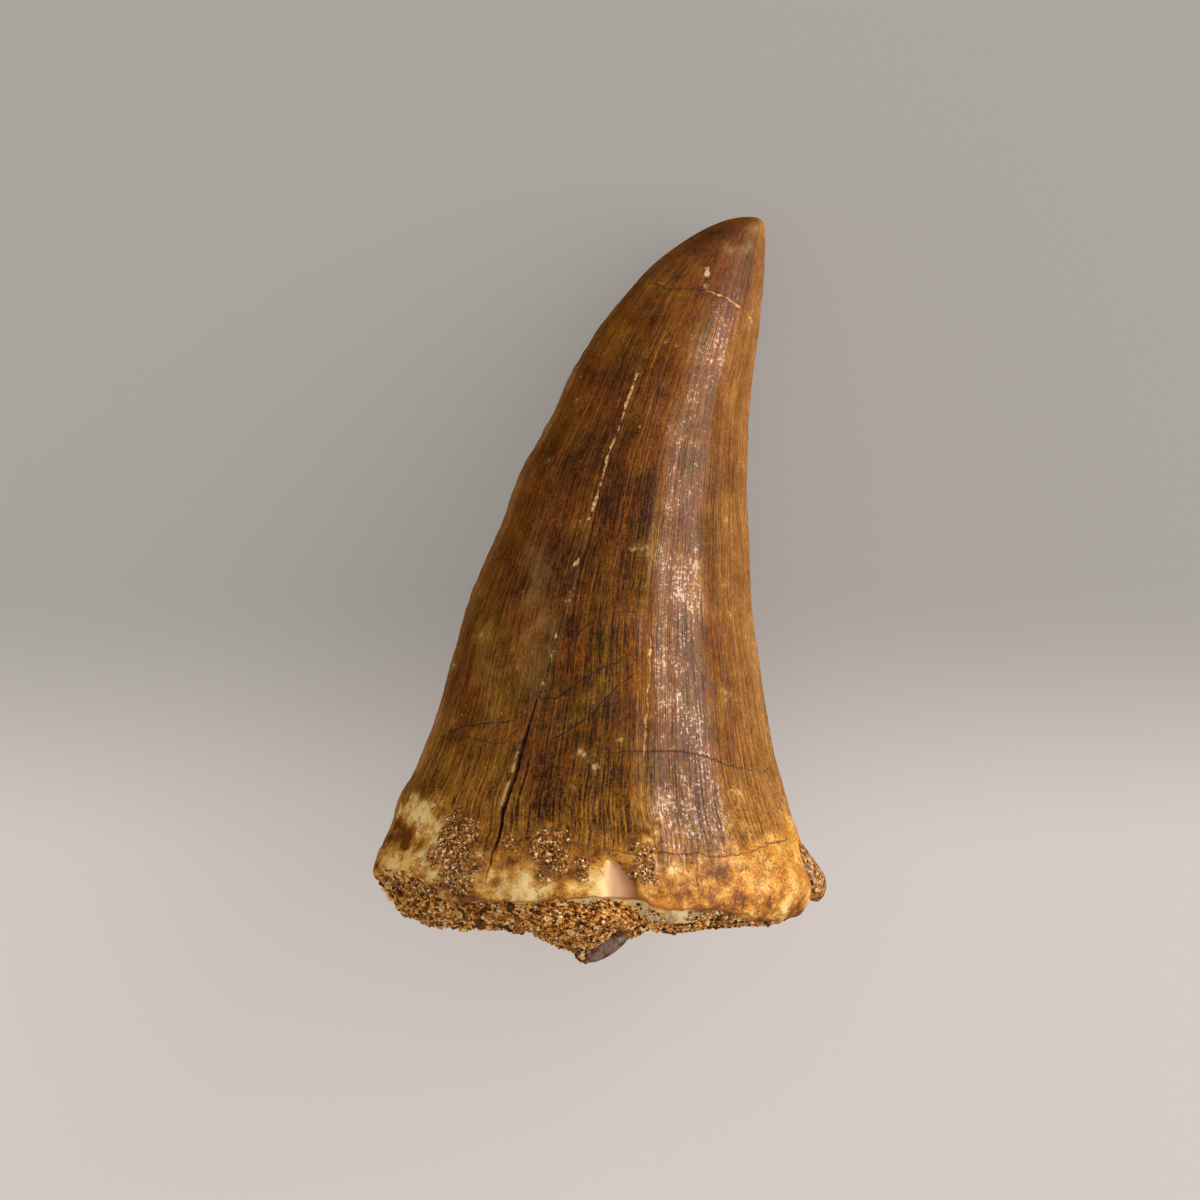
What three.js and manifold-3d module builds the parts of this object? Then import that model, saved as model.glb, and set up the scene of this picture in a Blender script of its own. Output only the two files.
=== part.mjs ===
// A fossil Prognathodon mosasaur tooth: a recurved crown of enamel over dentine, whose broken
// base still holds the sandy phosphate matrix it was buried in, with two bone fragments caught
// in that matrix. It lies on its back with the outer face up. Sizes are in millimetres:
// +X to the right, +Y from the base to the tip, +Z up.
import * as THREE from "three";
import { mergeVertices } from "three/addons/utils/BufferGeometryUtils.js";
import Module from "manifold-3d";

const wasm = await Module();
wasm.setup();

// Driving sizes. Heights are measured up from the lowest point of the matrix, and distances to
// the side from the line through it.
const LENGTH = 60;
const FIT_GAP = 0.3; // left between pieces that meet
const WALL = 2.4; // thickness of the broken rim round the pulp cavity
const CAVITY_TOP = 9.6; // where the filled pulp cavity closes
const FLAT_DEPTH = 0.25; // how far the back is worn flat where it rests
const SHARPNESS = 1.16; // above 1, the section narrows to a cutting edge at each side
const KEEL_HEIGHT = 0.32; // how far the cutting edge stands out
const KEEL_WIDTH = 7; // in degrees round the section
const FACET = 0.65; // 0 is a smooth oval section, 1 a flat-sided one
const RELIEF = 0.12; // height of the low swells on the enamel
const CROWN_RINGS = 37;
const CROWN_COLUMNS = 52;
const RING_CROWDING = 1.45; // above 1, the rings lie closer together towards the tip
const LAST_RING = 0.9985; // the last ring lies just short of the tip, as a share of the height
const CAVITY_LAYERS = 6;
const CAVITY_COLUMNS = 32;
const MATRIX_COLUMNS = 46;
const GRAIN_COUNT = 62;
const TURN = 2 * Math.PI;

// The two edges of the crown as [height, distance to the side], from the tip down
const LEFT_EDGE = [
  [60, 12.9],
  [59.9, 11.7],
  [59.4, 10.1],
  [58.4, 8.1],
  [57, 6.1],
  [54, 3.1],
  [49.2, -0.5],
  [44.4, -2.9],
  [39.5, -5.5],
  [34.7, -7.4],
  [29.8, -9.5],
  [25, -11],
  [20.2, -12.3],
  [15.3, -14.2],
  [12.9, -15.5],
  [10.5, -16.1],
  [8.4, -17.1],
  [7.2, -17.4],
  [6.4, -17.1],
  [5, -16.1],
  [3.5, -14.9],
  [2, -12.6],
];
const RIGHT_EDGE = [
  [60, 12.9],
  [59.9, 13.6],
  [59.4, 14.05],
  [56.5, 14.15],
  [54, 14],
  [49.2, 13.5],
  [44.4, 12.9],
  [38.7, 12.7],
  [34.7, 12.8],
  [27.4, 13.2],
  [22.6, 13.9],
  [17.7, 14.7],
  [12.9, 15.9],
  [10.5, 16.7],
  [8, 17.5],
  [6, 18],
  [4.5, 17.5],
  [3.5, 16.7],
  [2, 14.6],
];
// Thickness from back to front, and height of the back above the surface it lies on
const THICKNESS = [
  [60, 0],
  [59.4, 2.9],
  [58.4, 4.6],
  [54, 8.3],
  [49, 11.3],
  [44.4, 13.4],
  [38.7, 15.5],
  [30, 18.3],
  [20, 21.3],
  [12, 23.5],
  [7, 24.8],
  [4, 24.4],
  [2, 22.6],
];
const BACK_HEIGHT = [
  [60, 3.2],
  [58.4, 1.9],
  [54, 1],
  [46, 0.35],
  [38, -0.1],
  [31, -FLAT_DEPTH],
  [10, -FLAT_DEPTH],
  [6, 0.1],
  [4, 0.6],
  [2, 1.6],
];
// Angles go round the section from the right edge over the front (90) to the left edge (180).
// The broken rim as [angle, height], and the angles where the long facets meet
const RIM = [
  [0, 3.7],
  [14, 3.3],
  [28, 3.2],
  [50, 4.1],
  [64, 4.1],
  [78, 5.1],
  [100, 4.9],
  [130, 4.9],
  [148, 6.3],
  [180, 6.6],
  [205, 5.4],
  [238, 4.3],
  [270, 5],
  [300, 4.2],
  [335, 4.6],
  [360, 3.7],
];
const FACET_CORNERS = [0, 24, 50, 76, 98, 117, 141, 162, 180, 206, 233, 262, 290, 318, 340, 360];

// A smooth function through [place, value] pairs
function curve(pairs) {
  const knots = [...pairs].sort((a, b) => a[0] - b[0]);
  const last = knots.length - 1;
  const slope = (i) => {
    const before = knots[Math.max(0, i - 1)];
    const after = knots[Math.min(last, i + 1)];
    return (after[1] - before[1]) / (after[0] - before[0]);
  };
  return (place) => {
    const x = THREE.MathUtils.clamp(place, knots[0][0], knots[last][0]);
    const i = Math.max(0, Math.min(last - 1, knots.findIndex((k) => k[0] > x) - 1));
    const from = x >= knots[last][0] ? last - 1 : i;
    const width = knots[from + 1][0] - knots[from][0];
    const t = (x - knots[from][0]) / width;
    const ease = t * t * (3 - 2 * t);
    return (
      knots[from][1] * (1 - ease) +
      knots[from + 1][1] * ease +
      slope(from) * width * t * (1 - t) * (1 - t) -
      slope(from + 1) * width * t * t * (1 - t)
    );
  };
}

// A function of height whose curve closes round at the tip
function byHeight(pairs) {
  const toTip = (y) => Math.sqrt(Math.max(0, LENGTH - y));
  const through = curve(pairs.map(([y, value]) => [toTip(y), value]));
  return (y) => through(toTip(y));
}

const leftEdge = byHeight(LEFT_EDGE);
const rightEdge = byHeight(RIGHT_EDGE);
const thickness = byHeight(THICKNESS);
const backHeight = byHeight(BACK_HEIGHT);
const rimHeight = curve(RIM);
const middleHeight = (y) => backHeight(y) + thickness(y) / 2;

// How far in a flat-sided section lies at this angle, as a share of the oval's radius
function facetShare(degrees) {
  const next = FACET_CORNERS.findIndex((corner) => corner > degrees);
  const from = FACET_CORNERS[next - 1];
  const to = FACET_CORNERS[next];
  const half = THREE.MathUtils.degToRad((to - from) / 2);
  const off = THREE.MathUtils.degToRad(degrees - (from + to) / 2);
  return Math.cos(half) / Math.cos(off);
}

// Low swells left by growth and wear, from -1 to 1
function swell(x, y, z) {
  return (
    0.5 * Math.sin(0.42 * x + 0.23 * y + 1.1) * Math.cos(0.31 * z + 0.1 * y) +
    0.3 * Math.sin(0.9 * y + 0.55 * z) +
    0.2 * Math.cos(1.1 * x - 0.7 * z + 0.4 * y)
  );
}

// A point on the crown's surface, moved out by grow
function skin(angle, y, grow = 0) {
  const left = leftEdge(y) - grow;
  const right = rightEdge(y) + grow;
  const depth = thickness(y) + 2 * grow;
  const degrees = (THREE.MathUtils.radToDeg(angle) + 360) % 360;
  const fade = THREE.MathUtils.smoothstep(y, 5, 14) * (1 - THREE.MathUtils.smoothstep(y, 44, 56));
  const share = 1 - FACET * fade * (1 - facetShare(degrees));
  const across = Math.cos(angle) * share;
  const up = Math.sign(Math.sin(angle)) * Math.abs(Math.sin(angle)) ** SHARPNESS * share;
  const keel = KEEL_HEIGHT * fade * Math.sign(across);
  const fromKeel = Math.min(degrees, 360 - degrees, Math.abs(180 - degrees)) / KEEL_WIDTH;
  const half = (right - left) / 2 - Math.abs(keel);
  const x = (left + right) / 2 + half * across + keel * Math.exp(-(fromKeel ** 2));
  const z = backHeight(y) - grow + (depth / 2) * (1 + up);
  const relief = RELIEF * swell(x, y, z) * up * Math.min(1, depth / 8);
  return new THREE.Vector3(x, y, z + relief);
}

// A closed surface over rings of points, given from the base up, with a point at each end
function loft(rings) {
  const n = rings[0].length;
  const middle = (ring) => ring.reduce((sum, p) => sum.add(p), new THREE.Vector3()).divideScalar(n);
  const points = [...rings.flat(), middle(rings[0]), middle(rings[rings.length - 1])];
  const bottom = points.length - 2;
  const top = points.length - 1;
  const faces = [];
  for (let i = 0; i < rings.length - 1; i++) {
    for (let j = 0; j < n; j++) {
      const a = i * n + j;
      const b = i * n + ((j + 1) % n);
      faces.push(a, a + n, b, b, a + n, b + n);
    }
  }
  const lastRing = (rings.length - 1) * n;
  for (let j = 0; j < n; j++) {
    const next = (j + 1) % n;
    faces.push(bottom, j, next, top, lastRing + next, lastRing + j);
  }
  const geometry = new THREE.BufferGeometry().setFromPoints(points);
  geometry.setIndex(faces);
  return geometry;
}

// A geometry as a solid that can be cut and joined, and back
function solid(geometry) {
  const bare = new THREE.BufferGeometry();
  bare.setAttribute("position", geometry.getAttribute("position"));
  bare.setIndex(geometry.index);
  const merged = mergeVertices(bare, 1e-4);
  return new wasm.Manifold(
    new wasm.Mesh({
      numProp: 3,
      vertProperties: merged.attributes.position.array,
      triVerts: new Uint32Array(merged.index.array),
    }),
  );
}
function geometryOf(made) {
  const mesh = made.getMesh();
  const geometry = new THREE.BufferGeometry();
  geometry.setAttribute("position", new THREE.BufferAttribute(mesh.vertProperties, 3));
  geometry.setIndex(new THREE.BufferAttribute(mesh.triVerts, 1));
  return geometry;
}
function named(name, made, material) {
  const geometry = geometryOf(made);
  geometry.computeVertexNormals();
  const mesh = new THREE.Mesh(geometry, material);
  mesh.name = name;
  return mesh;
}

// The outside of the crown, with its wavy broken rim, as a full solid
function crownBody(grow = 0) {
  const rings = [];
  for (let i = 0; i <= CROWN_RINGS; i++) {
    const up = LAST_RING * (1 - (1 - i / CROWN_RINGS) ** RING_CROWDING);
    const ring = [];
    for (let j = 0; j < CROWN_COLUMNS; j++) {
      const angle = (j / CROWN_COLUMNS) * TURN;
      const rim = rimHeight((j / CROWN_COLUMNS) * 360) - grow;
      ring.push(skin(angle, rim + (LENGTH + grow - rim) * up, grow));
    }
    rings.push(ring);
  }
  return solid(loft(rings));
}

// The pulp cavity, a shallow dome open at the base and filled by the matrix. It follows the
// section that the crown has near its rim.
const CAVITY = { foot: -2, spring: 1, sectionAt: 5.5, x: 0.4, closing: 0.04 };
function cavity(shrink = 0) {
  const top = CAVITY_TOP - shrink;
  const rings = [];
  for (let i = 0; i <= CAVITY_LAYERS; i++) {
    const rise = Math.sin((i / CAVITY_LAYERS) * (Math.PI / 2) * 0.97);
    const y = THREE.MathUtils.lerp(CAVITY.foot, top, rise);
    const climbed = THREE.MathUtils.clamp((y - CAVITY.spring) / (top - CAVITY.spring), 0, 1);
    const narrow = Math.sqrt(1 - climbed ** 3);
    const centre = new THREE.Vector3(CAVITY.x, y, middleHeight(CAVITY.sectionAt));
    const ring = [];
    for (let j = 0; j < CAVITY_COLUMNS; j++) {
      const edge = skin((j / CAVITY_COLUMNS) * TURN, CAVITY.sectionAt, -WALL - shrink);
      edge.y = y;
      ring.push(centre.clone().lerp(edge, Math.max(CAVITY.closing, narrow)));
    }
    rings.push(ring);
  }
  return solid(loft(rings));
}

// The open part of the long drying crack: a wedge sunk into the outer face, as
// [height, distance to the side, width]
const CRACK = [
  [19.2, -4.75, 0.12],
  [17.2, -5.4, 0.3],
  [15.3, -5.85, 0.55],
  [13, -6.4, 0.5],
  [10.8, -7, 0.42],
  [8.6, -7.55, 0.28],
  [6.4, -8.05, 0.12],
];
const CRACK_DEPTH = 1.1;
const CRACK_CLEAR = 0.6; // how far the cutting wedge stands out of the surface
const CRACK_TAPER = 0.3; // width at the bottom of the crack, as a share of its width at the top

// The angle at which the front of the crown passes over a place
function frontAngle(x, y) {
  let best = 0;
  for (let degrees = 1; degrees < 180; degrees++) {
    const here = skin(THREE.MathUtils.degToRad(degrees), y).x;
    if (here >= x) best = degrees;
  }
  return THREE.MathUtils.degToRad(best);
}
function crack() {
  const rings = [...CRACK].reverse().map(([y, x, width]) => {
    const surface = skin(frontAngle(x, y), y);
    const side = width / 2;
    return [
      new THREE.Vector3(x + side, y, surface.z + CRACK_CLEAR),
      new THREE.Vector3(x - side, y, surface.z + CRACK_CLEAR),
      new THREE.Vector3(x - side * CRACK_TAPER, y, surface.z - CRACK_DEPTH),
      new THREE.Vector3(x + side * CRACK_TAPER, y, surface.z - CRACK_DEPTH),
    ];
  });
  return solid(loft(rings));
}

// A rounded lump with an uneven surface, used for chips, grains and fragments
function lump(centre, radii, { detail = 1, rough = 0.1, tilt = 0, seed = 1 } = {}) {
  const geometry = new THREE.IcosahedronGeometry(1, detail);
  const position = geometry.getAttribute("position");
  const p = new THREE.Vector3();
  for (let i = 0; i < position.count; i++) {
    p.fromBufferAttribute(position, i);
    const broad = Math.sin(3.1 * p.x + seed) * Math.cos(2.7 * p.y - seed);
    const fine = Math.sin(4.3 * p.z + 2 * seed);
    p.multiplyScalar(1 + (rough / 2) * (broad + fine));
    position.setXYZ(i, p.x, p.y, p.z);
  }
  geometry.scale(...radii);
  geometry.rotateZ(THREE.MathUtils.degToRad(tilt));
  geometry.translate(...centre);
  return solid(geometry);
}

// The shell-shaped flake missing from the front of the rim
const CHIP = { x: 2.6, y: 5.3, out: 0.35, radii: [1.75, 2.9, 1.15] };
function rimChip() {
  const surface = skin(frontAngle(CHIP.x, CHIP.y), CHIP.y);
  return lump([CHIP.x, CHIP.y, surface.z + CHIP.out], CHIP.radii, { detail: 2, rough: 0.04 });
}

// Everything below the table's plane, where the back is worn flat
function underTable() {
  const size = 100;
  const box = new THREE.BoxGeometry(size, size, size);
  box.translate(0, LENGTH / 2, -size / 2);
  return solid(box);
}

function makeCrown() {
  return crownBody().subtract(cavity()).subtract(crack()).subtract(rimChip()).subtract(underTable());
}

// The matrix's lower face: nearly level, and drawn out to a blunt nub below the middle
const MATRIX_LEVEL = 2.8;
const NUB = { left: 5.6, right: 4.6, deep: 5.2, z: 15.2, drop: 2.8 };
function matrixFloor(x, z) {
  const reach = x < 0 ? NUB.left : NUB.right;
  const away = Math.min(1, Math.hypot(x / reach, (z - NUB.z) / NUB.deep));
  const drop = NUB.drop * (1 - away);
  const hollow = 0.3 * Math.exp(-(((x - 6.8) / 1.6) ** 2));
  const bumps = 0.18 * Math.sin(0.95 * x + 0.9) * Math.cos(0.85 * z) + 0.1 * Math.sin(1.7 * z + 1.3 * x);
  const rim = 0.5 * (Math.abs(x) / 16) ** 4;
  return MATRIX_LEVEL + rim - drop - hollow + bumps * away;
}

// How far the matrix stands back from the crown's outline, as [angle, distance]
const MATRIX_INSET = [
  [0, 2],
  [45, 1.5],
  [90, 1.1],
  [135, 0.2],
  [180, 0],
  [215, 0.8],
  [270, 1.7],
  [315, 1.6],
  [360, 2],
];
const matrixInset = curve(MATRIX_INSET);
const FLOOR_SHARES = [0.04, 0.11, 0.18, 0.26, 0.36, 0.48, 0.6, 0.72, 0.84, 0.94];
const FLOOR_EDGE = 3.2; // height at which the floor's outline is taken
const SIDE_HEIGHTS = [3.6, 4.8, 6.4];
const PIT = { centre: [8.1, 3, 22.4], radii: [0.5, 0.45, 1.4] };

// A seeded stream of numbers from 0 to 1
function numbers(seed) {
  let state = seed;
  return () => {
    state = (state * 1664525 + 1013904223) % 4294967296;
    return state / 4294967296;
  };
}

function matrixEdge(angle, y) {
  const inset = matrixInset(THREE.MathUtils.radToDeg(angle));
  const wobble = 0.22 * Math.sin(7 * angle + 2) + 0.16 * Math.cos(13 * angle);
  return skin(angle, Math.max(2.2, y), -inset + wobble);
}
function onFloor(angle, share) {
  const edge = matrixEdge(angle, FLOOR_EDGE);
  const x = THREE.MathUtils.lerp(0, edge.x, share);
  const z = THREE.MathUtils.lerp(NUB.z, edge.z, share);
  return new THREE.Vector3(x, matrixFloor(x, z), z);
}

// One ring of the matrix's surface, with its points given by a function of the angle
function matrixRing(pointAt) {
  const ring = [];
  for (let j = 0; j < MATRIX_COLUMNS; j++) {
    ring.push(pointAt((j / MATRIX_COLUMNS) * TURN));
  }
  return ring;
}
function largest(made) {
  return made.decompose().sort((a, b) => b.volume() - a.volume())[0];
}
function makeMatrix(fragment) {
  const axis = new THREE.Vector3(0, CAVITY_TOP + 1, middleHeight(FLOOR_EDGE));
  const rings = [
    ...FLOOR_SHARES.map((share) => matrixRing((angle) => onFloor(angle, share))),
    ...SIDE_HEIGHTS.map((y) => matrixRing((angle) => matrixEdge(angle, y))),
    matrixRing((angle) => matrixEdge(angle, SIDE_HEIGHTS[2]).setY(axis.y).lerp(axis, 0.1)),
  ];
  const wall = crownBody(FIT_GAP).subtract(cavity(FIT_GAP));
  const filling = solid(loft(rings)).subtract(wall);
  const pit = lump(PIT.centre, PIT.radii);
  return largest(filling.add(grains()).subtract(wall).subtract(pit).subtract(fragment));
}

// Coarse grains of phosphate sand that stand out of the matrix, fused to it
function grains() {
  const random = numbers(7);
  const made = [];
  for (let i = 0; i < GRAIN_COUNT; i++) {
    const place = onFloor(random() * TURN, 0.28 + 0.67 * Math.sqrt(random()));
    const radius = 0.4 + 0.35 * random();
    const radii = [radius * 1.25, radius, radius];
    const centre = [place.x, place.y + 0.55 * radius, place.z];
    made.push(lump(centre, radii, { detail: 0, rough: 0.2, seed: i }));
  }
  return wasm.Manifold.union(made);
}

// A smooth dark fragment of bone that forms the tip of the nub, and one caught against the
// right edge of the crown. Each is given as it is, or grown to cut its seat.
const NUB_BONE = { centre: [1, 1.3, NUB.z], radii: [2.3, 1.1, 1.9] };
function nubFragment(grow = 0) {
  const radii = NUB_BONE.radii.map((radius) => radius + grow);
  return lump(NUB_BONE.centre, radii, { detail: 2, rough: 0.1, tilt: 28, seed: 3 });
}
const SIDE_BONE = { centre: [17.75, 7, 11.2], radii: [1.45, 2.35, 2.6] };
function sideFragment() {
  const options = { detail: 2, rough: 0.14, tilt: 14, seed: 5 };
  const body = lump(SIDE_BONE.centre, SIDE_BONE.radii, options);
  return largest(body.subtract(crownBody(FIT_GAP)));
}

const enamel = new THREE.MeshStandardMaterial({ color: 0x7a5127, roughness: 0.38, metalness: 0 });
const sand = new THREE.MeshStandardMaterial({ color: 0x9a7440, roughness: 0.9, metalness: 0 });
const bone = new THREE.MeshStandardMaterial({ color: 0x5c4a45, roughness: 0.5, metalness: 0 });

const tooth = new THREE.Group();
tooth.add(named("crown", makeCrown(), enamel));
tooth.add(named("matrix", makeMatrix(nubFragment(FIT_GAP)), sand));
tooth.add(named("nub_fragment", nubFragment(), bone));
tooth.add(named("side_fragment", sideFragment(), bone));

// The origin is on the table, under the middle of the tooth
const bounds = new THREE.Box3().setFromObject(tooth);
const middle = bounds.getCenter(new THREE.Vector3());
tooth.position.set(-middle.x, -middle.y, -bounds.min.z);

export default tooth;
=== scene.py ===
# A fossil mosasaur tooth lying on a pale board, seen from straight above. Lengths are in
# millimetres until they reach Blender, which works in metres. Heights run up the tooth: they
# are counted along +Y from the lowest point of its base, and sideways places along +X.
import math

import bmesh
import bpy
import numpy as np
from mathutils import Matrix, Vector


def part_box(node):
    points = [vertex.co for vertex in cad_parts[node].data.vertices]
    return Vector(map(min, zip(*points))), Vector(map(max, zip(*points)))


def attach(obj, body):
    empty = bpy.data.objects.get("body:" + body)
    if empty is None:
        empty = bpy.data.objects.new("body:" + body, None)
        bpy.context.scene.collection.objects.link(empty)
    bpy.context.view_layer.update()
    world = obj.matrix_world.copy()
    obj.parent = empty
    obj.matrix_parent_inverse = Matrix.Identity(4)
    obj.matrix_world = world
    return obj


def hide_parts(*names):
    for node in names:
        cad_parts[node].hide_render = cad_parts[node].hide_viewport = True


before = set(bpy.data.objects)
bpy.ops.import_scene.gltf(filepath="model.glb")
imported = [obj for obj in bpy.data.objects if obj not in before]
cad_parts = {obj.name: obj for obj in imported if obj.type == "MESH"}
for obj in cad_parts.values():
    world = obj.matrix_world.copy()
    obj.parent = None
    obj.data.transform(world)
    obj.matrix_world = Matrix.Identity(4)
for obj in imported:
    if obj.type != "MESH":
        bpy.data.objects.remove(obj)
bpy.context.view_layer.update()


# The board under the tooth
# A plain opal panel, warm grey. It glows faintly by itself, painted light that keeps shadows on it
# light. It is paler near the base of the tooth than behind the tip, painted shade towards the far
# end.
MM = 0.001


def linear(hex_colour):
    """An sRGB hex colour as Blender's linear values"""
    channels = [int(hex_colour[i : i + 2], 16) / 255 for i in (1, 3, 5)]
    levels = [c / 12.92 if c <= 0.04045 else ((c + 0.055) / 1.055) ** 2.4 for c in channels]
    return [*levels, 1.0]


def feed(tree, node, inputs):
    """Give a node its inputs. A node given as one is linked by its first output in use."""
    for name, value in inputs.items():
        if isinstance(value, bpy.types.Node):
            value = next(output for output in value.outputs if output.enabled)
        if isinstance(value, bpy.types.NodeSocket):
            tree.links.new(value, node.inputs[name])
        else:
            node.inputs[name].default_value = value


def add(tree, kind, inputs=None, stops=None, **settings):
    """A node of this kind"""
    made = tree.nodes.new(kind)
    for name, value in settings.items():
        setattr(made, name, value)
    feed(tree, made, inputs or {})
    for i, (place, colour) in enumerate(stops or []):
        ramp = made.color_ramp.elements
        stop = ramp[i] if i < len(ramp) else ramp.new(place)
        stop.position = place
        stop.color = linear(colour)
    return made


def new_material(name, **values):
    """A material with one Principled shader, and its node tree"""
    material = bpy.data.materials.new(name)
    material.use_nodes = True
    material.node_tree.nodes.clear()
    shader = add(material.node_tree, "ShaderNodeBsdfPrincipled", values)
    add(material.node_tree, "ShaderNodeOutputMaterial", {"Surface": shader})
    return material, material.node_tree, shader


EASED = {"interpolation_type": "SMOOTHSTEP"}

BOARD_SIZE = 1600
# The far end is darker than the near end: painted shade, as if the light fell away behind the tip.
BOARD_NEAR = "#e6ddd6"
BOARD_FAR = "#b9b2ab"
BOARD_TURN = (-23, 1)  # places along Y between which the board's tone changes
BOARD_PAINTED_GLOW = 0.49
BOARD_DULLNESS = 0.65  # the share of the light falling on it that its glow stands in for

# Opal plastic, matt. It has no texture of its own to show at this distance.
board_finish, tree, shader = new_material("opal panel", Roughness=0.85)
place = add(tree, "ShaderNodeTexCoord")
axes = add(tree, "ShaderNodeSeparateXYZ", {0: place.outputs["Object"]})
turn = add(
    tree,
    "ShaderNodeMapRange",
    {0: axes.outputs["Y"], 1: BOARD_TURN[0] * MM, 2: BOARD_TURN[1] * MM},
    **EASED,
)
tone = add(
    tree,
    "ShaderNodeMix",
    {0: turn, 6: linear(BOARD_NEAR), 7: linear(BOARD_FAR)},
    data_type="RGBA",
)
unlit = add(
    tree,
    "ShaderNodeMix",
    {0: BOARD_DULLNESS, 6: tone, 7: linear("#000000")},
    data_type="RGBA",
)
# The emission is painted light: the board glows by itself so that shadows on it stay light.
finish = {"Base Color": unlit, "Emission Color": tone, "Emission Strength": BOARD_PAINTED_GLOW}
feed(tree, shader, finish)

half = BOARD_SIZE / 2 * MM
board_mesh = bpy.data.meshes.new("board")
corners = [(-half, -half, 0), (half, -half, 0), (half, half, 0), (-half, half, 0)]
board_mesh.from_pydata(corners, [], [(0, 1, 2, 3)])
board_mesh.materials.append(board_finish)
board = bpy.data.objects.new("board", board_mesh)
bpy.context.scene.collection.objects.link(board)
board.visible_glossy = False


# The light and the camera
# A wide soft box on the right, turned a little towards the tip, with a brighter tube in it,
# gives the long sheen down the right of the crown. A dim room, a little brighter on the left,
# opens the shadows without a sheen of its own. The camera looks straight down from far off, so
# that the tooth's thickness doesn't widen its outline.
VIEW_CENTRE = (-0.24, -0.85)  # the middle of the picture, from the middle of the tooth
VIEW_WIDTH = 96.9
VIEW_LEVEL = 8  # height above the board at which the picture is this wide
LENS = 1000
SENSOR = 36
LIGHT_DISTANCE = 2000
ROOM_LEFT = 0.71
ROOM_RIGHT = 0.48


def soft_box(name, lean, turn, width, length, radiance, colour):
    """An area light on the right, this far from the vertical and turned this far to the tip"""
    data = bpy.data.lights.new(name, "AREA")
    data.shape = "RECTANGLE"
    data.size = 2 * LIGHT_DISTANCE * math.tan(math.radians(width / 2)) * MM
    data.size_y = 2 * LIGHT_DISTANCE * math.tan(math.radians(length / 2)) * MM
    data.energy = math.pi * data.size * data.size_y * radiance
    data.color = linear(colour)[:3]
    light = bpy.data.objects.new(name, data)
    light.rotation_euler = (0, math.radians(lean), math.radians(turn))
    light.location = light.rotation_euler.to_matrix() @ Vector((0, 0, LIGHT_DISTANCE * MM))
    light.visible_camera = False
    bpy.context.scene.collection.objects.link(light)


soft_box("key", 64, 14, 40, 70, 2.1, "#ffffff")
soft_box("key_tube", 66, 14, 10, 70, 6.5, "#fffaff")

room = bpy.data.worlds.new("room")
room.use_nodes = True
tree = room.node_tree
way = add(tree, "ShaderNodeTexCoord").outputs["Generated"]
way = add(tree, "ShaderNodeSeparateXYZ", {0: way})
strength = add(
    tree,
    "ShaderNodeMapRange",
    {0: way.outputs["X"], 1: -1, 2: 1, 3: ROOM_LEFT, 4: ROOM_RIGHT},
)
feed(tree, tree.nodes["Background"], {"Color": linear("#ffffff"), "Strength": strength})
room.cycles_visibility.glossy = False
bpy.context.scene.world = room
bpy.context.scene.view_settings.view_transform = "Standard"

camera_data = bpy.data.cameras.new("camera")
camera_data.lens = LENS
camera_data.sensor_width = SENSOR
camera_data.clip_start = 0.01
camera_data.clip_end = 20
camera = bpy.data.objects.new("camera", camera_data)
camera_height = VIEW_LEVEL + VIEW_WIDTH * LENS / SENSOR
camera.location = Vector((*VIEW_CENTRE, camera_height)) * MM
bpy.context.scene.collection.objects.link(camera)
bpy.context.scene.camera = camera


# The crown
# One piece of enamel over dentine, grown in layers and worn smooth: recurved, with long flat
# facets, a cutting edge down each side, and drying cracks. It is broken off at the base, where
# the wall shows as a ring round the pulp cavity.
LENGTH = 60
WALL = 2.4
CAVITY_TOP = 9.6
SHARPNESS = 1.16
KEEL_HEIGHT = 0.32
KEEL_WIDTH = 7
FACET = 0.65
FLAT_DEPTH = 0.25
LEFT_EDGE = [
    (60, 12.9), (59.9, 11.7), (59.4, 10.1), (58.4, 8.1), (57, 6.1), (54, 3.1), (49.2, -0.5),
    (44.4, -2.9), (39.5, -5.5), (34.7, -7.4), (29.8, -9.5), (25, -11), (20.2, -12.3),
    (15.3, -14.2), (12.9, -15.5), (10.5, -16.1), (8.4, -17.1), (7.2, -17.4), (6.4, -17.1),
    (5, -16.1), (3.5, -14.9), (2, -12.6),
]
RIGHT_EDGE = [
    (60, 12.9), (59.9, 13.6), (59.4, 14.05), (56.5, 14.15), (54, 14), (49.2, 13.5),
    (44.4, 12.9), (38.7, 12.7), (34.7, 12.8), (27.4, 13.2), (22.6, 13.9), (17.7, 14.7),
    (12.9, 15.9), (10.5, 16.7), (8, 17.5), (6, 18), (4.5, 17.5), (3.5, 16.7), (2, 14.6),
]
THICKNESS = [
    (60, 0), (59.4, 2.9), (58.4, 4.6), (54, 8.3), (49, 11.3), (44.4, 13.4), (38.7, 15.5),
    (30, 18.3), (20, 21.3), (12, 23.5), (7, 24.8), (4, 24.4), (2, 22.6),
]
BACK_HEIGHT = [
    (60, 3.2), (58.4, 1.9), (54, 1), (46, 0.35), (38, -0.1), (31, -FLAT_DEPTH),
    (10, -FLAT_DEPTH), (6, 0.1), (4, 0.6), (2, 1.6),
]
# Angles go round the section from the right edge over the front (90) to the left edge (180)
RIM = [
    (0, 3.7), (14, 3.3), (28, 3.2), (50, 4.1), (64, 4.1), (78, 5.1), (100, 4.9), (130, 4.9),
    (148, 6.3), (180, 6.6), (205, 5.4), (238, 4.3), (270, 5), (300, 4.2), (335, 4.6), (360, 3.7),
]
FACET_CORNERS = [0, 24, 50, 76, 98, 117, 141, 162, 180, 206, 233, 262, 290, 318, 340, 360]
FACET_SOFTNESS = 4  # in degrees, how far wear has rounded the corners between facets


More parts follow.
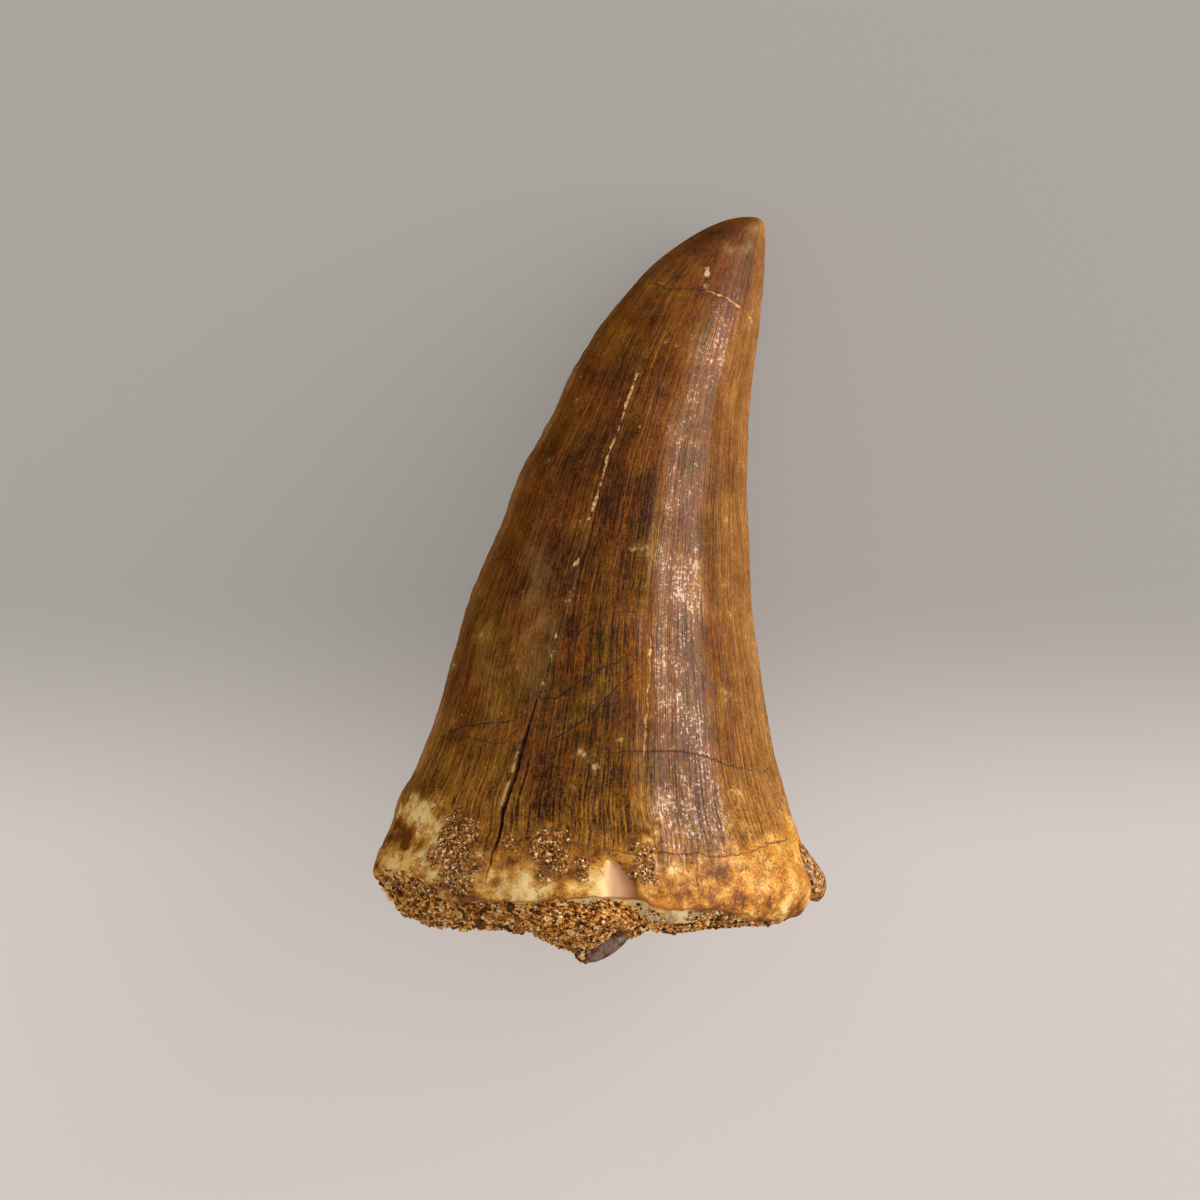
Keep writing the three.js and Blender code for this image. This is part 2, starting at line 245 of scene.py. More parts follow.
def curve(pairs):
    """A smooth function through (place, value) pairs"""
    places, values = np.array(sorted(pairs), float).T
    slopes = np.gradient(values, places)
    slopes[1:-1] = (values[2:] - values[:-2]) / (places[2:] - places[:-2])

    def at(place):
        x = np.clip(place, places[0], places[-1])
        i = np.clip(np.searchsorted(places, x, side="right") - 1, 0, len(places) - 2)
        width = places[i + 1] - places[i]
        t = (x - places[i]) / width
        ease = t * t * (3 - 2 * t)
        bend = slopes[i] * width * t * (1 - t) ** 2 - slopes[i + 1] * width * t**2 * (1 - t)
        return values[i] * (1 - ease) + values[i + 1] * ease + bend

    return at


def by_height(pairs):
    """A function of height whose curve closes round at the tip"""
    through = curve([(math.sqrt(LENGTH - height), value) for height, value in pairs])
    return lambda height: through(np.sqrt(np.maximum(0, LENGTH - height)))


left_edge = by_height(LEFT_EDGE)
right_edge = by_height(RIGHT_EDGE)
thickness = by_height(THICKNESS)
back_height = by_height(BACK_HEIGHT)
rim_height = curve(RIM)


def smooth(value, low, high):
    """0 below low, 1 above high, eased between"""
    t = np.clip((value - low) / (high - low), 0, 1)
    return t * t * (3 - 2 * t)


def bell(value, width):
    """1 at 0, falling to nothing well beyond this width"""
    return np.exp(-((value / width) ** 2))


def window(value, rise, fall):
    """1 between two places, eased up over the first range and down over the second"""
    return smooth(value, *rise) * (1 - smooth(value, *fall))


def facet_shares():
    """How far in each facet lies, as a share of the oval's radius, for every degree"""
    degrees = np.arange(0, 360, 0.5)
    corners = np.array(FACET_CORNERS, float)
    i = np.searchsorted(corners, degrees, side="right") - 1
    half_width = np.radians(corners[i + 1] - corners[i]) / 2
    off = np.radians(degrees - (corners[i] + corners[i + 1]) / 2)
    sharp = np.cos(half_width) / np.cos(off)
    reach = np.arange(-4 * FACET_SOFTNESS, 4 * FACET_SOFTNESS + 1)
    weights = bell(reach, 2 * FACET_SOFTNESS)
    soft = sum(w * np.roll(sharp, k) for w, k in zip(weights, reach)) / weights.sum()
    return lambda angle: np.interp(angle % 360, degrees, soft, period=360)


facet_share = facet_shares()


def from_keel(degrees):
    """Degrees from the nearer cutting edge"""
    turned = degrees % 360
    return np.minimum(np.minimum(turned, 360 - turned), np.abs(180 - turned))


def skin(degrees, height, grow=0.0):
    """Points on the crown's outer surface, moved out by grow"""
    left, right = left_edge(height) - grow, right_edge(height) + grow
    depth = thickness(height) + 2 * grow
    angle = np.radians(degrees)
    fade = window(height, (5, 14), (44, 56))
    share = 1 - FACET * fade * (1 - facet_share(degrees))
    across = np.cos(angle) * share
    up = np.sign(np.sin(angle)) * np.abs(np.sin(angle)) ** SHARPNESS * share
    keel = KEEL_HEIGHT * fade * np.sign(across)
    half_width = (right - left) / 2 - np.abs(keel)
    ridge = keel * bell(from_keel(degrees), KEEL_WIDTH)
    x = (left + right) / 2 + half_width * across + ridge
    z = back_height(height) - grow + depth / 2 * (1 + up)
    swell = (
        0.5 * np.sin(0.42 * x + 0.23 * height + 1.1) * np.cos(0.31 * z + 0.1 * height)
        + 0.3 * np.sin(0.9 * height + 0.55 * z)
        + 0.2 * np.cos(1.1 * x - 0.7 * z + 0.4 * height)
    )
    z = z + 0.12 * swell * up * np.minimum(1, depth / 8)
    return np.stack(np.broadcast_arrays(x, height, z), -1)


def on_front(x, height):
    """The angle at which the front of the crown passes over a place"""
    degrees = np.arange(2, 178.5, 0.5)
    return float(np.interp(-x, -skin(degrees, np.full_like(degrees, height))[:, 0], degrees))


def traced(places):
    """(Sideways, height) places on the front as (angle, height) corners"""
    return [(on_front(x, height), height) for x, height in places]


def lumps(points, size, seed, waves=24):
    """A smooth random height over the points, mostly from -1 to 1, with lumps of this size"""
    random = np.random.default_rng(seed)
    ways = random.normal(size=(waves, 3))
    ways /= np.linalg.norm(ways, axis=1, keepdims=True)
    ways *= 2 * math.pi / size * random.uniform(0.55, 1.2, (waves, 1))
    phases = random.uniform(0, 2 * math.pi, waves)
    return np.sin(points @ ways.T + phases).sum(-1) / math.sqrt(2 * waves)


# The long crack, from its thin upper end down, as (sideways, height). At each height, how wide
# it gapes, how deep it is, and how far it is filled with pale matrix.
LONG_CRACK = [
    (4.0, 47.6), (3.1, 45.2), (2.3, 42.8), (1.5, 40.7), (1.0, 38.7), (0.5, 37.1), (-0.2, 35.1),
    (-0.8, 33.1), (-1.4, 30.6), (-1.8, 29), (-2.4, 26.8), (-3.1, 24.6), (-3.6, 22.6),
    (-4.4, 20.6), (-5.2, 18.1), (-5.75, 16.1), (-6.5, 13.6), (-7.1, 11.2), (-7.65, 9.1),
    (-8.05, 7.5), (-8.45, 5.9),
]
CRACK_WIDTH = [(6, 0.03), (7.5, 0.07), (9, 0.16), (10.8, 0.28), (13, 0.4), (15.3, 0.46),
               (17.2, 0.3), (18.4, 0.34), (19.6, 0.14), (22, 0.1), (26, 0.06), (48, 0.06)]
CRACK_DEPTH = [(5.6, 0.05), (7.5, 0.25), (9, 0.5), (17, 0.6), (19, 0.4), (21, 0.16),
               (24, 0.03), (48, 0.02)]
CRACK_FILL = [(5, 0), (17.6, 0), (19, 0.12), (25.8, 0.16), (27, 0.25), (34, 0.2),
              (36, 0.45), (38.5, 1), (46.8, 1), (47.8, 0), (60, 0)]
crack_width = curve(CRACK_WIDTH)
crack_depth = curve(CRACK_DEPTH)
long_fill = curve(CRACK_FILL)
LIP_OFF = 0.12  # how far the crack's raised lips stand from its edges

# Columns of the crown's mesh stand a degree apart, and closer along the long crack, which they
# follow up the crown
CRACK_COLUMN = 112
columns = np.concatenate([
    np.arange(0, CRACK_COLUMN - 3.01, 1.0),
    CRACK_COLUMN + 3 * np.sinh(np.linspace(-2.2, 2.2, 45)) / math.sinh(2.2),
    np.arange(CRACK_COLUMN + 4, 359.5, 1.0),
])
# Rows lie closest near the base, and close up again into the tip
TIP_ROWS = 26
TIP_START = 45
ROWS_LENGTH = LENGTH - 4.5  # from about the rim to the tip
low_rows = np.arange(0, 10, 0.2)
middle_rows = np.arange(10, TIP_START, 0.3)
closing = 1 - (1 - np.linspace(0, 1, TIP_ROWS, endpoint=False)) ** 1.9
tip_rows = TIP_START + (ROWS_LENGTH - TIP_START) * closing
rows_up = np.concatenate([low_rows, middle_rows, tip_rows]) / ROWS_LENGTH

crack_degrees, crack_heights = np.array(traced(LONG_CRACK))[::-1].T
FIT_HEIGHTS = np.linspace(0, LENGTH, 241)
crack_line = np.interp(FIT_HEIGHTS, crack_heights, crack_degrees)
crack_line = np.convolve(np.pad(crack_line, 4, mode="edge"), np.ones(9) / 9, mode="valid")

RIM_ROUGHNESS = 0.16
RIM_RADIUS = 20  # of a round rim on which its roughness is laid out
RIM_ROWS = 12
DOME_ROWS = 9
WIDEST = 6  # height at which the base is widest
INNER_DROP = [(0, 0.2), (40, 0.3), (58, 1.1), (80, 1), (96, 0.3), (180, 0.1), (250, 0.5),
              (310, 0.9), (360, 0.2)]
inner_drop = curve(INNER_DROP)


def crown_grid():
    """Angle, height and place of every point, in rows from inside the cavity out to the tip"""
    turned = np.radians(columns)
    ring = RIM_RADIUS * np.stack([np.cos(turned), np.sin(turned), 0 * turned], -1)
    rim = rim_height(columns) + RIM_ROUGHNESS * (lumps(ring, 3.1, 4) + 0.6 * lumps(ring, 1.1, 5))
    height = rim + (LENGTH - rim) * rows_up[:, None]
    bend = np.interp(height, FIT_HEIGHTS, crack_line)
    degrees = np.where(
        columns < CRACK_COLUMN,
        columns * bend / CRACK_COLUMN,
        bend + (columns - CRACK_COLUMN) * (360 - bend) / (360 - CRACK_COLUMN),
    )
    outside = skin(degrees, height)
    middle = (left_edge(WIDEST) + right_edge(WIDEST)) / 2
    depth = back_height(WIDEST) + thickness(WIDEST) / 2
    centre = np.stack([middle + 0 * rim, rim, depth + 0 * rim], -1)
    inward = centre - outside[0]
    inward /= np.linalg.norm(inward, axis=1, keepdims=True)
    wall_rows = []
    wall_shares = np.linspace(1, 0, RIM_ROWS, endpoint=False)
    for share in wall_shares:
        step = outside[0] + inward * WALL * share
        step[:, 1] -= inner_drop(columns) * smooth(share, 0, 0.7) - 0.5 * smooth(share, 0.75, 1)
        wall_rows.append(step)
    dome_rows = []
    inner = wall_rows[0]
    for turn_in in np.linspace(0.04, 1, DOME_ROWS, endpoint=False):
        step = centre + (inner - centre) * math.sin(turn_in * math.pi / 2)
        step[:, 1] = inner[:, 1] + (CAVITY_TOP - inner[:, 1]) * math.cos(turn_in * math.pi / 2)
        dome_rows.append(step)
    inside = np.array(dome_rows + wall_rows)
    points = np.concatenate([inside, outside])
    all_degrees = np.concatenate([np.repeat(degrees[:1], len(inside), 0), degrees])
    in_from_rim = np.concatenate([np.full(DOME_ROWS, 1.0), wall_shares])
    above = np.concatenate([-WALL * in_from_rim[:, None] + 0 * degrees[:1], height - rim])
    return points, all_degrees, above


def grid_normals(points):
    """Outward normals of a grid of rows that close round on themselves"""
    along = np.gradient(points, axis=0)
    around = np.roll(points, -1, axis=1) - np.roll(points, 1, axis=1)
    normal = np.cross(along, around)
    return normal / np.maximum(np.linalg.norm(normal, axis=-1, keepdims=True), 1e-9)


FAR_OFF = 9.0  # stands for any distance beyond the reach that is looked at


def distance_to(path, points, normals, reach):
    """Signed distance of each point from a path on the surface, and its nearness from 0 to 1"""
    signed = np.full(len(points), FAR_OFF)
    low, high = path.min(0) - reach, path.max(0) + reach
    near = np.all((points > low) & (points < high), axis=1).nonzero()[0]
    spot, up = points[near], normals[near]
    best = np.full(len(near), FAR_OFF)
    side = np.ones(len(near))
    for start, end in zip(path[:-1], path[1:]):
        way = end - start
        t = np.clip((spot - start) @ way / (way @ way), 0, 1)
        gap = spot - (start + t[:, None] * way)
        far = np.linalg.norm(gap, axis=1)
        closer = far < best
        best = np.where(closer, far, best)
        turn = np.sign(np.einsum("ij,ij->i", np.cross(way, gap), up))
        side = np.where(closer, turn, side)
    signed[near] = best * side
    return signed, 1 - smooth(np.abs(signed), 0.45 * reach, 0.9 * reach)


def surface_path(stroke, seed, step=0.4, jitter=0.055):
    """A crack's (angle, height) corners as closely spaced points on the crown, a little uneven"""
    stroke = np.array(stroke, float)
    places = skin(stroke[:, 0], stroke[:, 1])
    run = np.concatenate([[0], np.cumsum(np.linalg.norm(np.diff(places, axis=0), axis=1))])
    at = np.linspace(0, run[-1], max(2, int(run[-1] / step) + 1))
    random = np.random.default_rng(seed)
    degrees = np.interp(at, run, stroke[:, 0]) + random.normal(0, jitter * 4, len(at))
    heights = np.interp(at, run, stroke[:, 1]) + random.normal(0, jitter, len(at))
    return skin(degrees, heights)


# Hairline drying cracks in three sets, so that those which cross or meet are in different sets,
# and the cracks that are filled with pale matrix: one beside the sheen, one round the tip, one on
# the back. Each set has its seed, its half width, its cracks on the front as (sideways, height)
# corners, and those on the back as (angle, height) corners, each crack with how dark it is.
CRACKS = {
    "hairlines_a": (20, 0.13, [
        (1, [(-4.2, 21.2), (-3.15, 21), (-1.9, 21.7), (-0.6, 22.7), (1, 23.6), (2.8, 24.4)]),
        (0.8, [(-11.9, 18), (-10.1, 18.9), (-8.3, 19.1), (-6.2, 19.3)]),
        (0.8, [(-0.8, 17.7), (0.5, 17.3), (2, 16.8), (3.6, 16.9), (5.4, 16.9), (7.2, 16.8),
         (9.2, 16.5), (10.7, 15.9), (12.4, 15.5), (13.9, 15), (14.5, 15.5)]),
        (0.8, [(-2.1, 9.65), (-0.6, 9.3), (1.5, 8.9), (3.3, 8.7), (5.4, 8.8), (7.4, 8.6),
         (8.7, 8.8), (9.8, 8.3), (11.5, 8.5), (13.1, 8.9), (14.6, 9.5), (15.8, 9.7)]),
        (0.6, [(11.8, 12.15), (13.3, 12.1), (14.8, 11.7)]),
        (0.7, [(-2.3, 26.8), (-1.6, 26.4), (-0.8, 26.5), (0.2, 27.3), (1.3, 27.9), (2.4, 28.1),
         (3.6, 28.1)]),
        (0.5, [(-0.3, 41.4), (1.3, 40.8)]),
        (0.4, [(6.5, 25.6), (7.8, 26.8)]),
    ], [
        (0.9, [(196, 24), (212, 23.2), (226, 24.1), (243, 23.4), (262, 24.6)]),
        (0.9, [(188, 11), (204, 10.2), (222, 10.8), (247, 9.9), (270, 10.6), (295, 10),
         (322, 10.7), (350, 9.8)]),
        (0.7, [(284, 17.5), (301, 18.1), (318, 17.2), (338, 18.6)]),
        (0.6, [(230, 37), (250, 36.1), (270, 37.2), (288, 36.6)]),
    ]),
    "hairlines_b": (50, 0.12, [
        (1, [(-2.9, 18), (-1.9, 18.5), (0, 19.7), (1.5, 21.5), (3.3, 23)]),
        (0.7, [(-10.1, 18), (-8.3, 17.7), (-7, 17.4), (-6, 18.4)]),
        (0.6, [(-3.9, 15.9), (-2.1, 15.5), (0.7, 15.4), (2.8, 15.2)]),
        (0.8, [(5.25, 54.6), (6.6, 54.1), (8.1, 54.1), (9.3, 54.1), (10.1, 53.9)]),
        (0.5, [(-8.5, 24.3), (-7.4, 24.5), (-6.2, 24.6)]),
    ], [
        (0.8, [(214, 31), (226, 28.4), (240, 27.9), (258, 29.6)]),
        (0.8, [(300, 27), (312, 25.2), (330, 25.8)]),
        (0.7, [(262, 14.6), (278, 14), (296, 14.9)]),
    ]),
    "hairlines_c": (80, 0.1, [
        (1, [(0.7, 15.5), (0.5, 13.2), (0, 11.1), (-0.2, 8.8)]),
        (0.9, [(-1.7, 10.4), (-1.9, 9.1)]),
        (0.7, [(5.1, 10.6), (5.25, 9.1)]),
        (0.7, [(8.7, 9.3), (8.6, 6)]),
        (0.5, [(-2.4, 14.5), (-2.6, 11.2)]),
        (0.4, [(3.9, 15.5), (3.8, 11.5)]),
    ], [
        (1, [(262, 24.5), (264, 19), (261, 14), (265, 8)]),
        (0.8, [(312, 16.9), (314, 12), (311, 6.5)]),
        (0.7, [(220, 20), (219, 14.5), (222, 8.2)]),
    ]),
    "filled_crack": (200, 0.1, [
        (1, [(4.9, 25.8), (4.85, 23.8), (4.75, 21.8)]),
        (0.6, [(4.7, 21), (4.5, 18.9), (4.4, 16.9)]),
        (1, [(9.9, 53.9), (11.3, 53.2), (12.3, 52.5), (13.1, 51.5)]),
    ], [
        (0.9, [(246, 43), (244, 38), (247, 31), (243, 25)]),
    ]),
}

# Patches on the crown, as (sideways, height, half width, half height, strength), each kind on
# the front and then on the back
PATCHES = {
    # Sand still stuck on the enamel
    "sand": ([
        (-10.7, 9, 1.7, 2.5, 1.15), (-3.3, 8.7, 1.5, 1.8, 1), (-0.6, 7.6, 0.7, 1.3, 0.9),
        (4.6, 7.5, 1.1, 1.2, 1.15), (-6.3, 9.6, 0.6, 1, 0.75), (-13.9, 5.6, 2.2, 0.9, 1.1),
        (-10.3, 6.3, 1, 1.2, 1), (12.3, 7.6, 0.8, 0.5, 0.5), (3.4, 9.1, 0.5, 0.5, 0.7),
    ], [
        (-8.2, 9, 2.2, 1.9, 1), (1.5, 7.6, 1.4, 1.1, 0.9), (8.6, 10.4, 1.7, 2.6, 1),
        (12.7, 6.3, 1.1, 1.1, 0.8), (-13.5, 7.5, 1.1, 1.6, 0.9),
    ]),
    # Pale cream cementum
    "cream": ([
        (-12.9, 9, 0.9, 2.3, 1), (-13.6, 12, 1.5, 1.3, 0.55), (-8.2, 7, 1, 1.5, 1),
        (-6.4, 6, 1.9, 1, 1.2), (-2.6, 5.9, 3.4, 0.8, 1.1), (-14.8, 7.4, 1.4, 0.8, 0.9),
        (0.9, 6.4, 0.5, 1.6, 1.1), (7.2, 6.6, 2, 0.8, 0.4), (11.6, 6.3, 1.2, 0.5, 0.8),
        (14, 6, 1.6, 0.4, 1.2), (5.4, 10.5, 1.3, 1.3, 0.45), (3.4, 4.2, 3.8, 0.7, 1),
        (16.9, 8.4, 0.5, 1.4, 0.8),
    ], [
        (-10.5, 6.4, 3.2, 1.2, 1), (4.5, 6.2, 4.4, 0.9, 1), (0.2, 9.6, 1.8, 1.3, 0.6),
        (11.6, 8.6, 1.6, 1.8, 0.7), (-5, 8.2, 1.6, 1.1, 0.7),
    ]),
    # Orange iron stain
    "rust": ([
        (13.6, 7.4, 3.4, 2.8, 0.9), (16.3, 8.8, 1.5, 3.4, 1.1), (5.7, 4.7, 2.2, 0.5, 1.6),
        (-12.2, 12.9, 0.9, 1.8, 0.5), (-14.6, 7.9, 1.5, 1, 0.8), (-7.7, 5.7, 0.5, 0.8, 0.9),
        (1, 5.2, 0.9, 0.5, 0.8), (9, 8, 0.8, 1.6, 0.6), (12.4, 11, 2.6, 2.2, 0.35),
    ], [
        (-13, 9.2, 2.1, 2.6, 0.8), (-2, 6.4, 1.8, 1.4, 0.8), (7.4, 8.2, 1.8, 1.5, 0.7),
        (14.2, 11.4, 1.6, 3.2, 0.8),
    ]),
    # Dark manganese stain
    "dark": ([
        (-14.9, 10.2, 0.6, 1.9, 1), (-3.9, 10.9, 0.6, 0.5, 0.5), (-15.2, 12.9, 0.4, 0.5, 0.5),
        (5.6, 6.9, 0.8, 0.9, 0.5), (7.6, 6.6, 2.4, 1.3, 0.4),
    ], [
        (-6.4, 12.2, 0.8, 1.6, 0.8), (3.6, 11.4, 0.6, 1.3, 0.7),
    ]),
    # Pale patches on the enamel: partly pale scuffs, mostly painted highlight where soft light
    # would catch it
    "scuffs_and_highlight": ([
        (-4.3, 27.5, 1.1, 5.5, 1), (-8.3, 24, 0.6, 4, 0.5), (12.5, 57.5, 0.5, 0.5, 1.6),
        (10.9, 57.3, 0.35, 0.3, 1.4), (13.1, 59.1, 0.3, 0.3, 1.4), (11.9, 55.4, 0.5, 0.3, 0.8),
    ], [
        (4, 30, 1.5, 5, 0.8),
    ]),
    # Wrinkled enamel
    "wrinkled": ([
        (8.6, 12.4, 3, 2.4, 1.3), (9.4, 17, 2.4, 3, 0.7),
    ], []),
    # Darker and redder enamel
    "dusky": ([
        (0.6, 44, 2.6, 6.5, 1), (-2.6, 37, 2.8, 5, 1), (-10.3, 25, 1.3, 6, 1), (5, 51, 2, 3, 0.5),
        (-6.5, 31, 1.6, 3, 0.6), (-3, 13.5, 2.5, 3.5, 0.8), (2.5, 12, 2.5, 2.6, 0.4),
        (10.5, 56.5, 2.6, 3.4, 1.1), (9, 12.5, 3, 3, 0.3),
    ], [
        (-4, 33, 3, 7, 0.8),
    ]),
}
# A pale flake near the tip, as (sideways, height):
FLAKE = (9.45, 55.6)
# Stretches of the broken wall without sand, as (sideways, half width):
BARE_WALL = [(7, 0), (2.8, 0.3)]
# Where the stained lip of the rim comes up and where it dies out, sideways:
LIP_REACH = ((3.4, 4.4), (7, 8.4))


def patches(points, front, on_the_front, on_the_back):
    """Strength of a set of patches, with uneven outlines, at each point"""
    shifted = points[:, :2] + np.stack([lumps(points, 2.4, 26), lumps(points, 2.4, 27)], -1) * 0.4
    shifted += np.stack([lumps(points, 0.9, 28), lumps(points, 0.9, 29)], -1) * 0.16
    total = np.zeros(len(points))
    for side, group in ((front, on_the_front), (1 - front, on_the_back)):
        for x, height, half_width, half_height, strength in group:
            away = ((shifted[:, 0] - x) / half_width) ** 2
            away += ((shifted[:, 1] - height) / half_height) ** 2
            total = np.maximum(total, side * strength * np.exp(-(away**1.4) * 0.7))
    return total


def line_sets(points, normals, front_sets, back_sets, seed, reach=0.8):
    """Signed distance from the nearest crack in each set, and how strongly it shows"""
    signed = np.full(len(points), FAR_OFF)
    shows = np.zeros(len(points))
    strokes = [(weight, traced(stroke)) for weight, stroke in front_sets]
    for number, (weight, stroke) in enumerate(strokes + back_sets):
        path = surface_path(stroke, seed + number)
        distance, nearness = distance_to(path, points, normals, reach)
        closer = np.abs(distance) < np.abs(signed)
        signed = np.where(closer, distance, signed)
        shows = np.where(closer, weight * nearness, shows)
    return signed, shows


# The flake missing from the front of the rim: a shallow bowl under a pointed arch
CHIP = {"x": 2.6, "lean": 0.75, "foot": 4.6, "top": 8.1, "half_width": 1.95, "depth": 0.75}
RING_RADIUS = 15  # of a round section on which the striae are laid out


def dress_crown(points, degrees, above):
    """The crown's fine relief, and what its finish needs to know at each point"""
    shape = points.shape[:2]
    normals = grid_normals(points).reshape(-1, 3)
    flat = points.reshape(-1, 3)
    degrees = degrees.reshape(-1)
    above = above.reshape(-1)
    sideways, height = flat[:, 0], flat[:, 1]
    outer = (above >= 0).astype(float)
    front = smooth(np.sin(np.radians(degrees)), -0.06, 0.06)
    turned = np.radians(degrees)
    around = [RING_RADIUS * np.cos(turned), RING_RADIUS * np.sin(turned)]
    ring = np.stack([*around, height / 30], -1)
    facts = {"striae": np.stack([*around, height], -1)}

    # How far each point is from the cracks
    path = surface_path(traced(LONG_CRACK), 1, step=0.6, jitter=0.02)
    long_crack, near_long = distance_to(path, flat, normals, 2)
    facts["long_crack"] = long_crack
    facts["long_crack_near"] = near_long * outer * smooth(height, 5.6, 8)
    for name, (seed, _, fore, back) in CRACKS.items():
        facts[name], shows = line_sets(flat, normals, fore, back, seed)
        facts[name + "_show"] = shows * outer

    # Stains and stuck sand, on the enamel and on the broken wall
    for name, (fore, back) in PATCHES.items():
        facts[name] = patches(flat, front, fore, back)
    sand = facts["sand"]
    facts["stained"] = smooth(sand + 0.3 * lumps(flat, 2, 23), 0.15, 0.6) * outer
    sand += 0.26 * lumps(flat, 1.5, 24) + 0.2 * lumps(flat, 0.75, 25) - 0.6 * (sand < 0.2)
    facts["sand"] = smooth(sand, 0.4, 0.75) * outer
    bare_wall = np.min([np.abs(sideways - x) - half for x, half in BARE_WALL], axis=0)
    caked = smooth(-above, 0.25, 0.7) * (above > -0.95 * WALL) * front * (1 - outer)
    facts["sand"] += caked * smooth(bare_wall + 0.4 * lumps(flat, 1.5, 35), 0.7, 1.2)
    facts["walled"] = 1 - 0.75 * smooth(sideways, 7.5, 9.5)
    facts["flake"] = np.hypot((sideways - FLAKE[0]) / 0.26, (height - FLAKE[1]) / 0.42)
    facts["flake"] += FAR_OFF * (1 - front)

    # What changes up the crown and round it: the rim, the cutting edges, and a band of painted
    # shade down the left middle
    facts["above_rim"] = above
    facts["lip"] = window(sideways, *LIP_REACH) * front
    facts["lip"] *= bell(above - 0.1, 0.24)
    across = np.cos(turned)
    facts["honey_level"] = above - 4.5 * np.abs(across) ** 3
    facts["keel"] = np.clip(across, 0, 1) ** 7 + 0.6 * np.clip(-across, 0, 1) ** 24
    facts["keel"] *= outer
    across = across + 0.05 * lumps(ring, 6, 21)
    # Painted shade: a band down the left middle of the face, darkened in its colour
    facts["shaded"] = window(across, (-0.5, -0.1), (0.16, 0.27)) * outer
    facts["shaded"] *= window(height, (9, 16), (40, 50)) * (0.85 + 0.2 * lumps(flat, 7, 22))

    # The long crack's filling, and its lip that catches the light
    facts["long_fill"] = long_fill(height)
    width = crack_width(height)
    facts["long_lip"] = bell(-long_crack - width / 2 - LIP_OFF, 0.13) * near_long
    facts["long_lip"] *= window(height, (11.5, 13), (17.5, 18.5)) * outer

    # Relief: striae, low lumps, the worn base, stuck sand and the broken wall
    striated = smooth(height, 4, 10) * (1 - 0.75 * smooth(height, 51, 56)) * outer
    facts["striated"] = striated
    relief = striated * (0.025 * lumps(ring, 2.4, 11, 40) + 0.015 * lumps(ring, 1.1, 12, 40))
    relief += outer * 0.05 * lumps(flat, 5, 13)
    worn = 0.09 * lumps(flat, 2.6, 14) + 0.05 * lumps(flat, 0.9, 15)
    relief += outer * (1 - smooth(above, 3, 8)) * worn
    relief += outer * facts["sand"] * (0.14 + 0.07 * lumps(flat, 0.7, 16))
    broken = (1 - outer) * smooth(above, -2.4, -1.2)
    relief += broken * (0.14 * lumps(flat, 1.6, 17) + 0.09 * lumps(flat, 0.6, 18))

    # The long crack's groove between its lips, and how dark it is inside: partly dirt, partly
    # painted shade that deepens with the groove
    ragged = long_crack + 0.07 * lumps(flat, 0.9, 30)
    gape = np.clip(1 - np.abs(ragged) / (width / 2 + 0.02), 0, 1) ** 0.55
    ends = window(height, (5.2, 6.6), (46.5, 47.8))
    facts["in_crack"] = gape * ends * outer * smooth(crack_depth(height), 0.1, 0.5)
    relief -= crack_depth(height) * gape * ends * outer
    lip = bell(np.abs(long_crack) - width / 2 - LIP_OFF, math.sqrt(0.02))
    relief += 0.03 * lip * ends * outer * near_long

    # The chip in the rim, and the small teeth of the cutting edges
    rise = (height - CHIP["foot"]) / (CHIP["top"] - CHIP["foot"])
    side = (sideways - CHIP["x"] + CHIP["lean"] * rise) / CHIP["half_width"]
    arch = np.clip(1 - rise, 0, 1) ** 0.6
    bowl = np.clip(1 - (side / np.maximum(arch, 0.01)) ** 2, 0, 1) * arch * front
    facts["chip"] = smooth(bowl, 0.02, 0.15) * outer
    facts["chip_side"] = 0.5 + 0.5 * np.clip(side, -1, 1)

    teeth = bell(from_keel(degrees), 2.2) * window(height, (9, 14), (52, 57))
    relief += outer * teeth * (0.04 * lumps(flat, 0.9, 20) + 0.03 * lumps(flat, 2.6, 19))

    moved = flat + normals * relief[:, None]
    moved[:, 2] -= CHIP["depth"] * np.sqrt(bowl) * np.clip(1 + above / WALL, 0, 1)
    moved[:, 2] = np.maximum(moved[:, 2], 0)
    return moved.reshape(*shape, 3), facts


crown_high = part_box("crown")[1]
# From the tooth's own lowest point, from which heights are counted, to the frame's origin. The
# solid, which is coarser, reaches these places at its right and at its tip.
SOLID_RIGHT = 17.996
SOLID_TIP = 59.92
TO_FRAME = np.array([crown_high.x / MM - SOLID_RIGHT, crown_high.y / MM - SOLID_TIP, 0])


def closed_faces(rows, count):
    """Faces of a grid of rows, closed round and capped with a point at each end"""
    i, j = np.meshgrid(np.arange(rows - 1), np.arange(count), indexing="ij")
    a = (i * count + j).ravel()
    b = (i * count + (j + 1) % count).ravel()
    quads = np.stack([a, a + count, b + count, b], -1).tolist()
    first, last = rows * count, rows * count + 1
    end_row = (rows - 1) * count
    for j in range(count):
        after = (j + 1) % count
        quads.append([first, j, after])
        quads.append([last, end_row + after, end_row + j])
    return quads


def new_piece(name, points, faces, material, facts):
    """A mesh object from points in millimetres, counted from the tooth's lowest point"""
    mesh = bpy.data.meshes.new(name)
    mesh.from_pydata(((points + TO_FRAME) * MM).tolist(), [], faces)
    for key, values in facts.items():
        kind, part = ("FLOAT_VECTOR", "vector") if values.ndim == 2 else ("FLOAT", "value")
        data = mesh.attributes.new(key, kind, "POINT").data
        data.foreach_set(part, values.astype(np.float32).ravel())
    mesh.polygons.foreach_set("use_smooth", [True] * len(mesh.polygons))
    mesh.materials.append(material)
    mesh.update()
    piece = bpy.data.objects.new(name, mesh)
    bpy.context.scene.collection.objects.link(piece)
    return piece


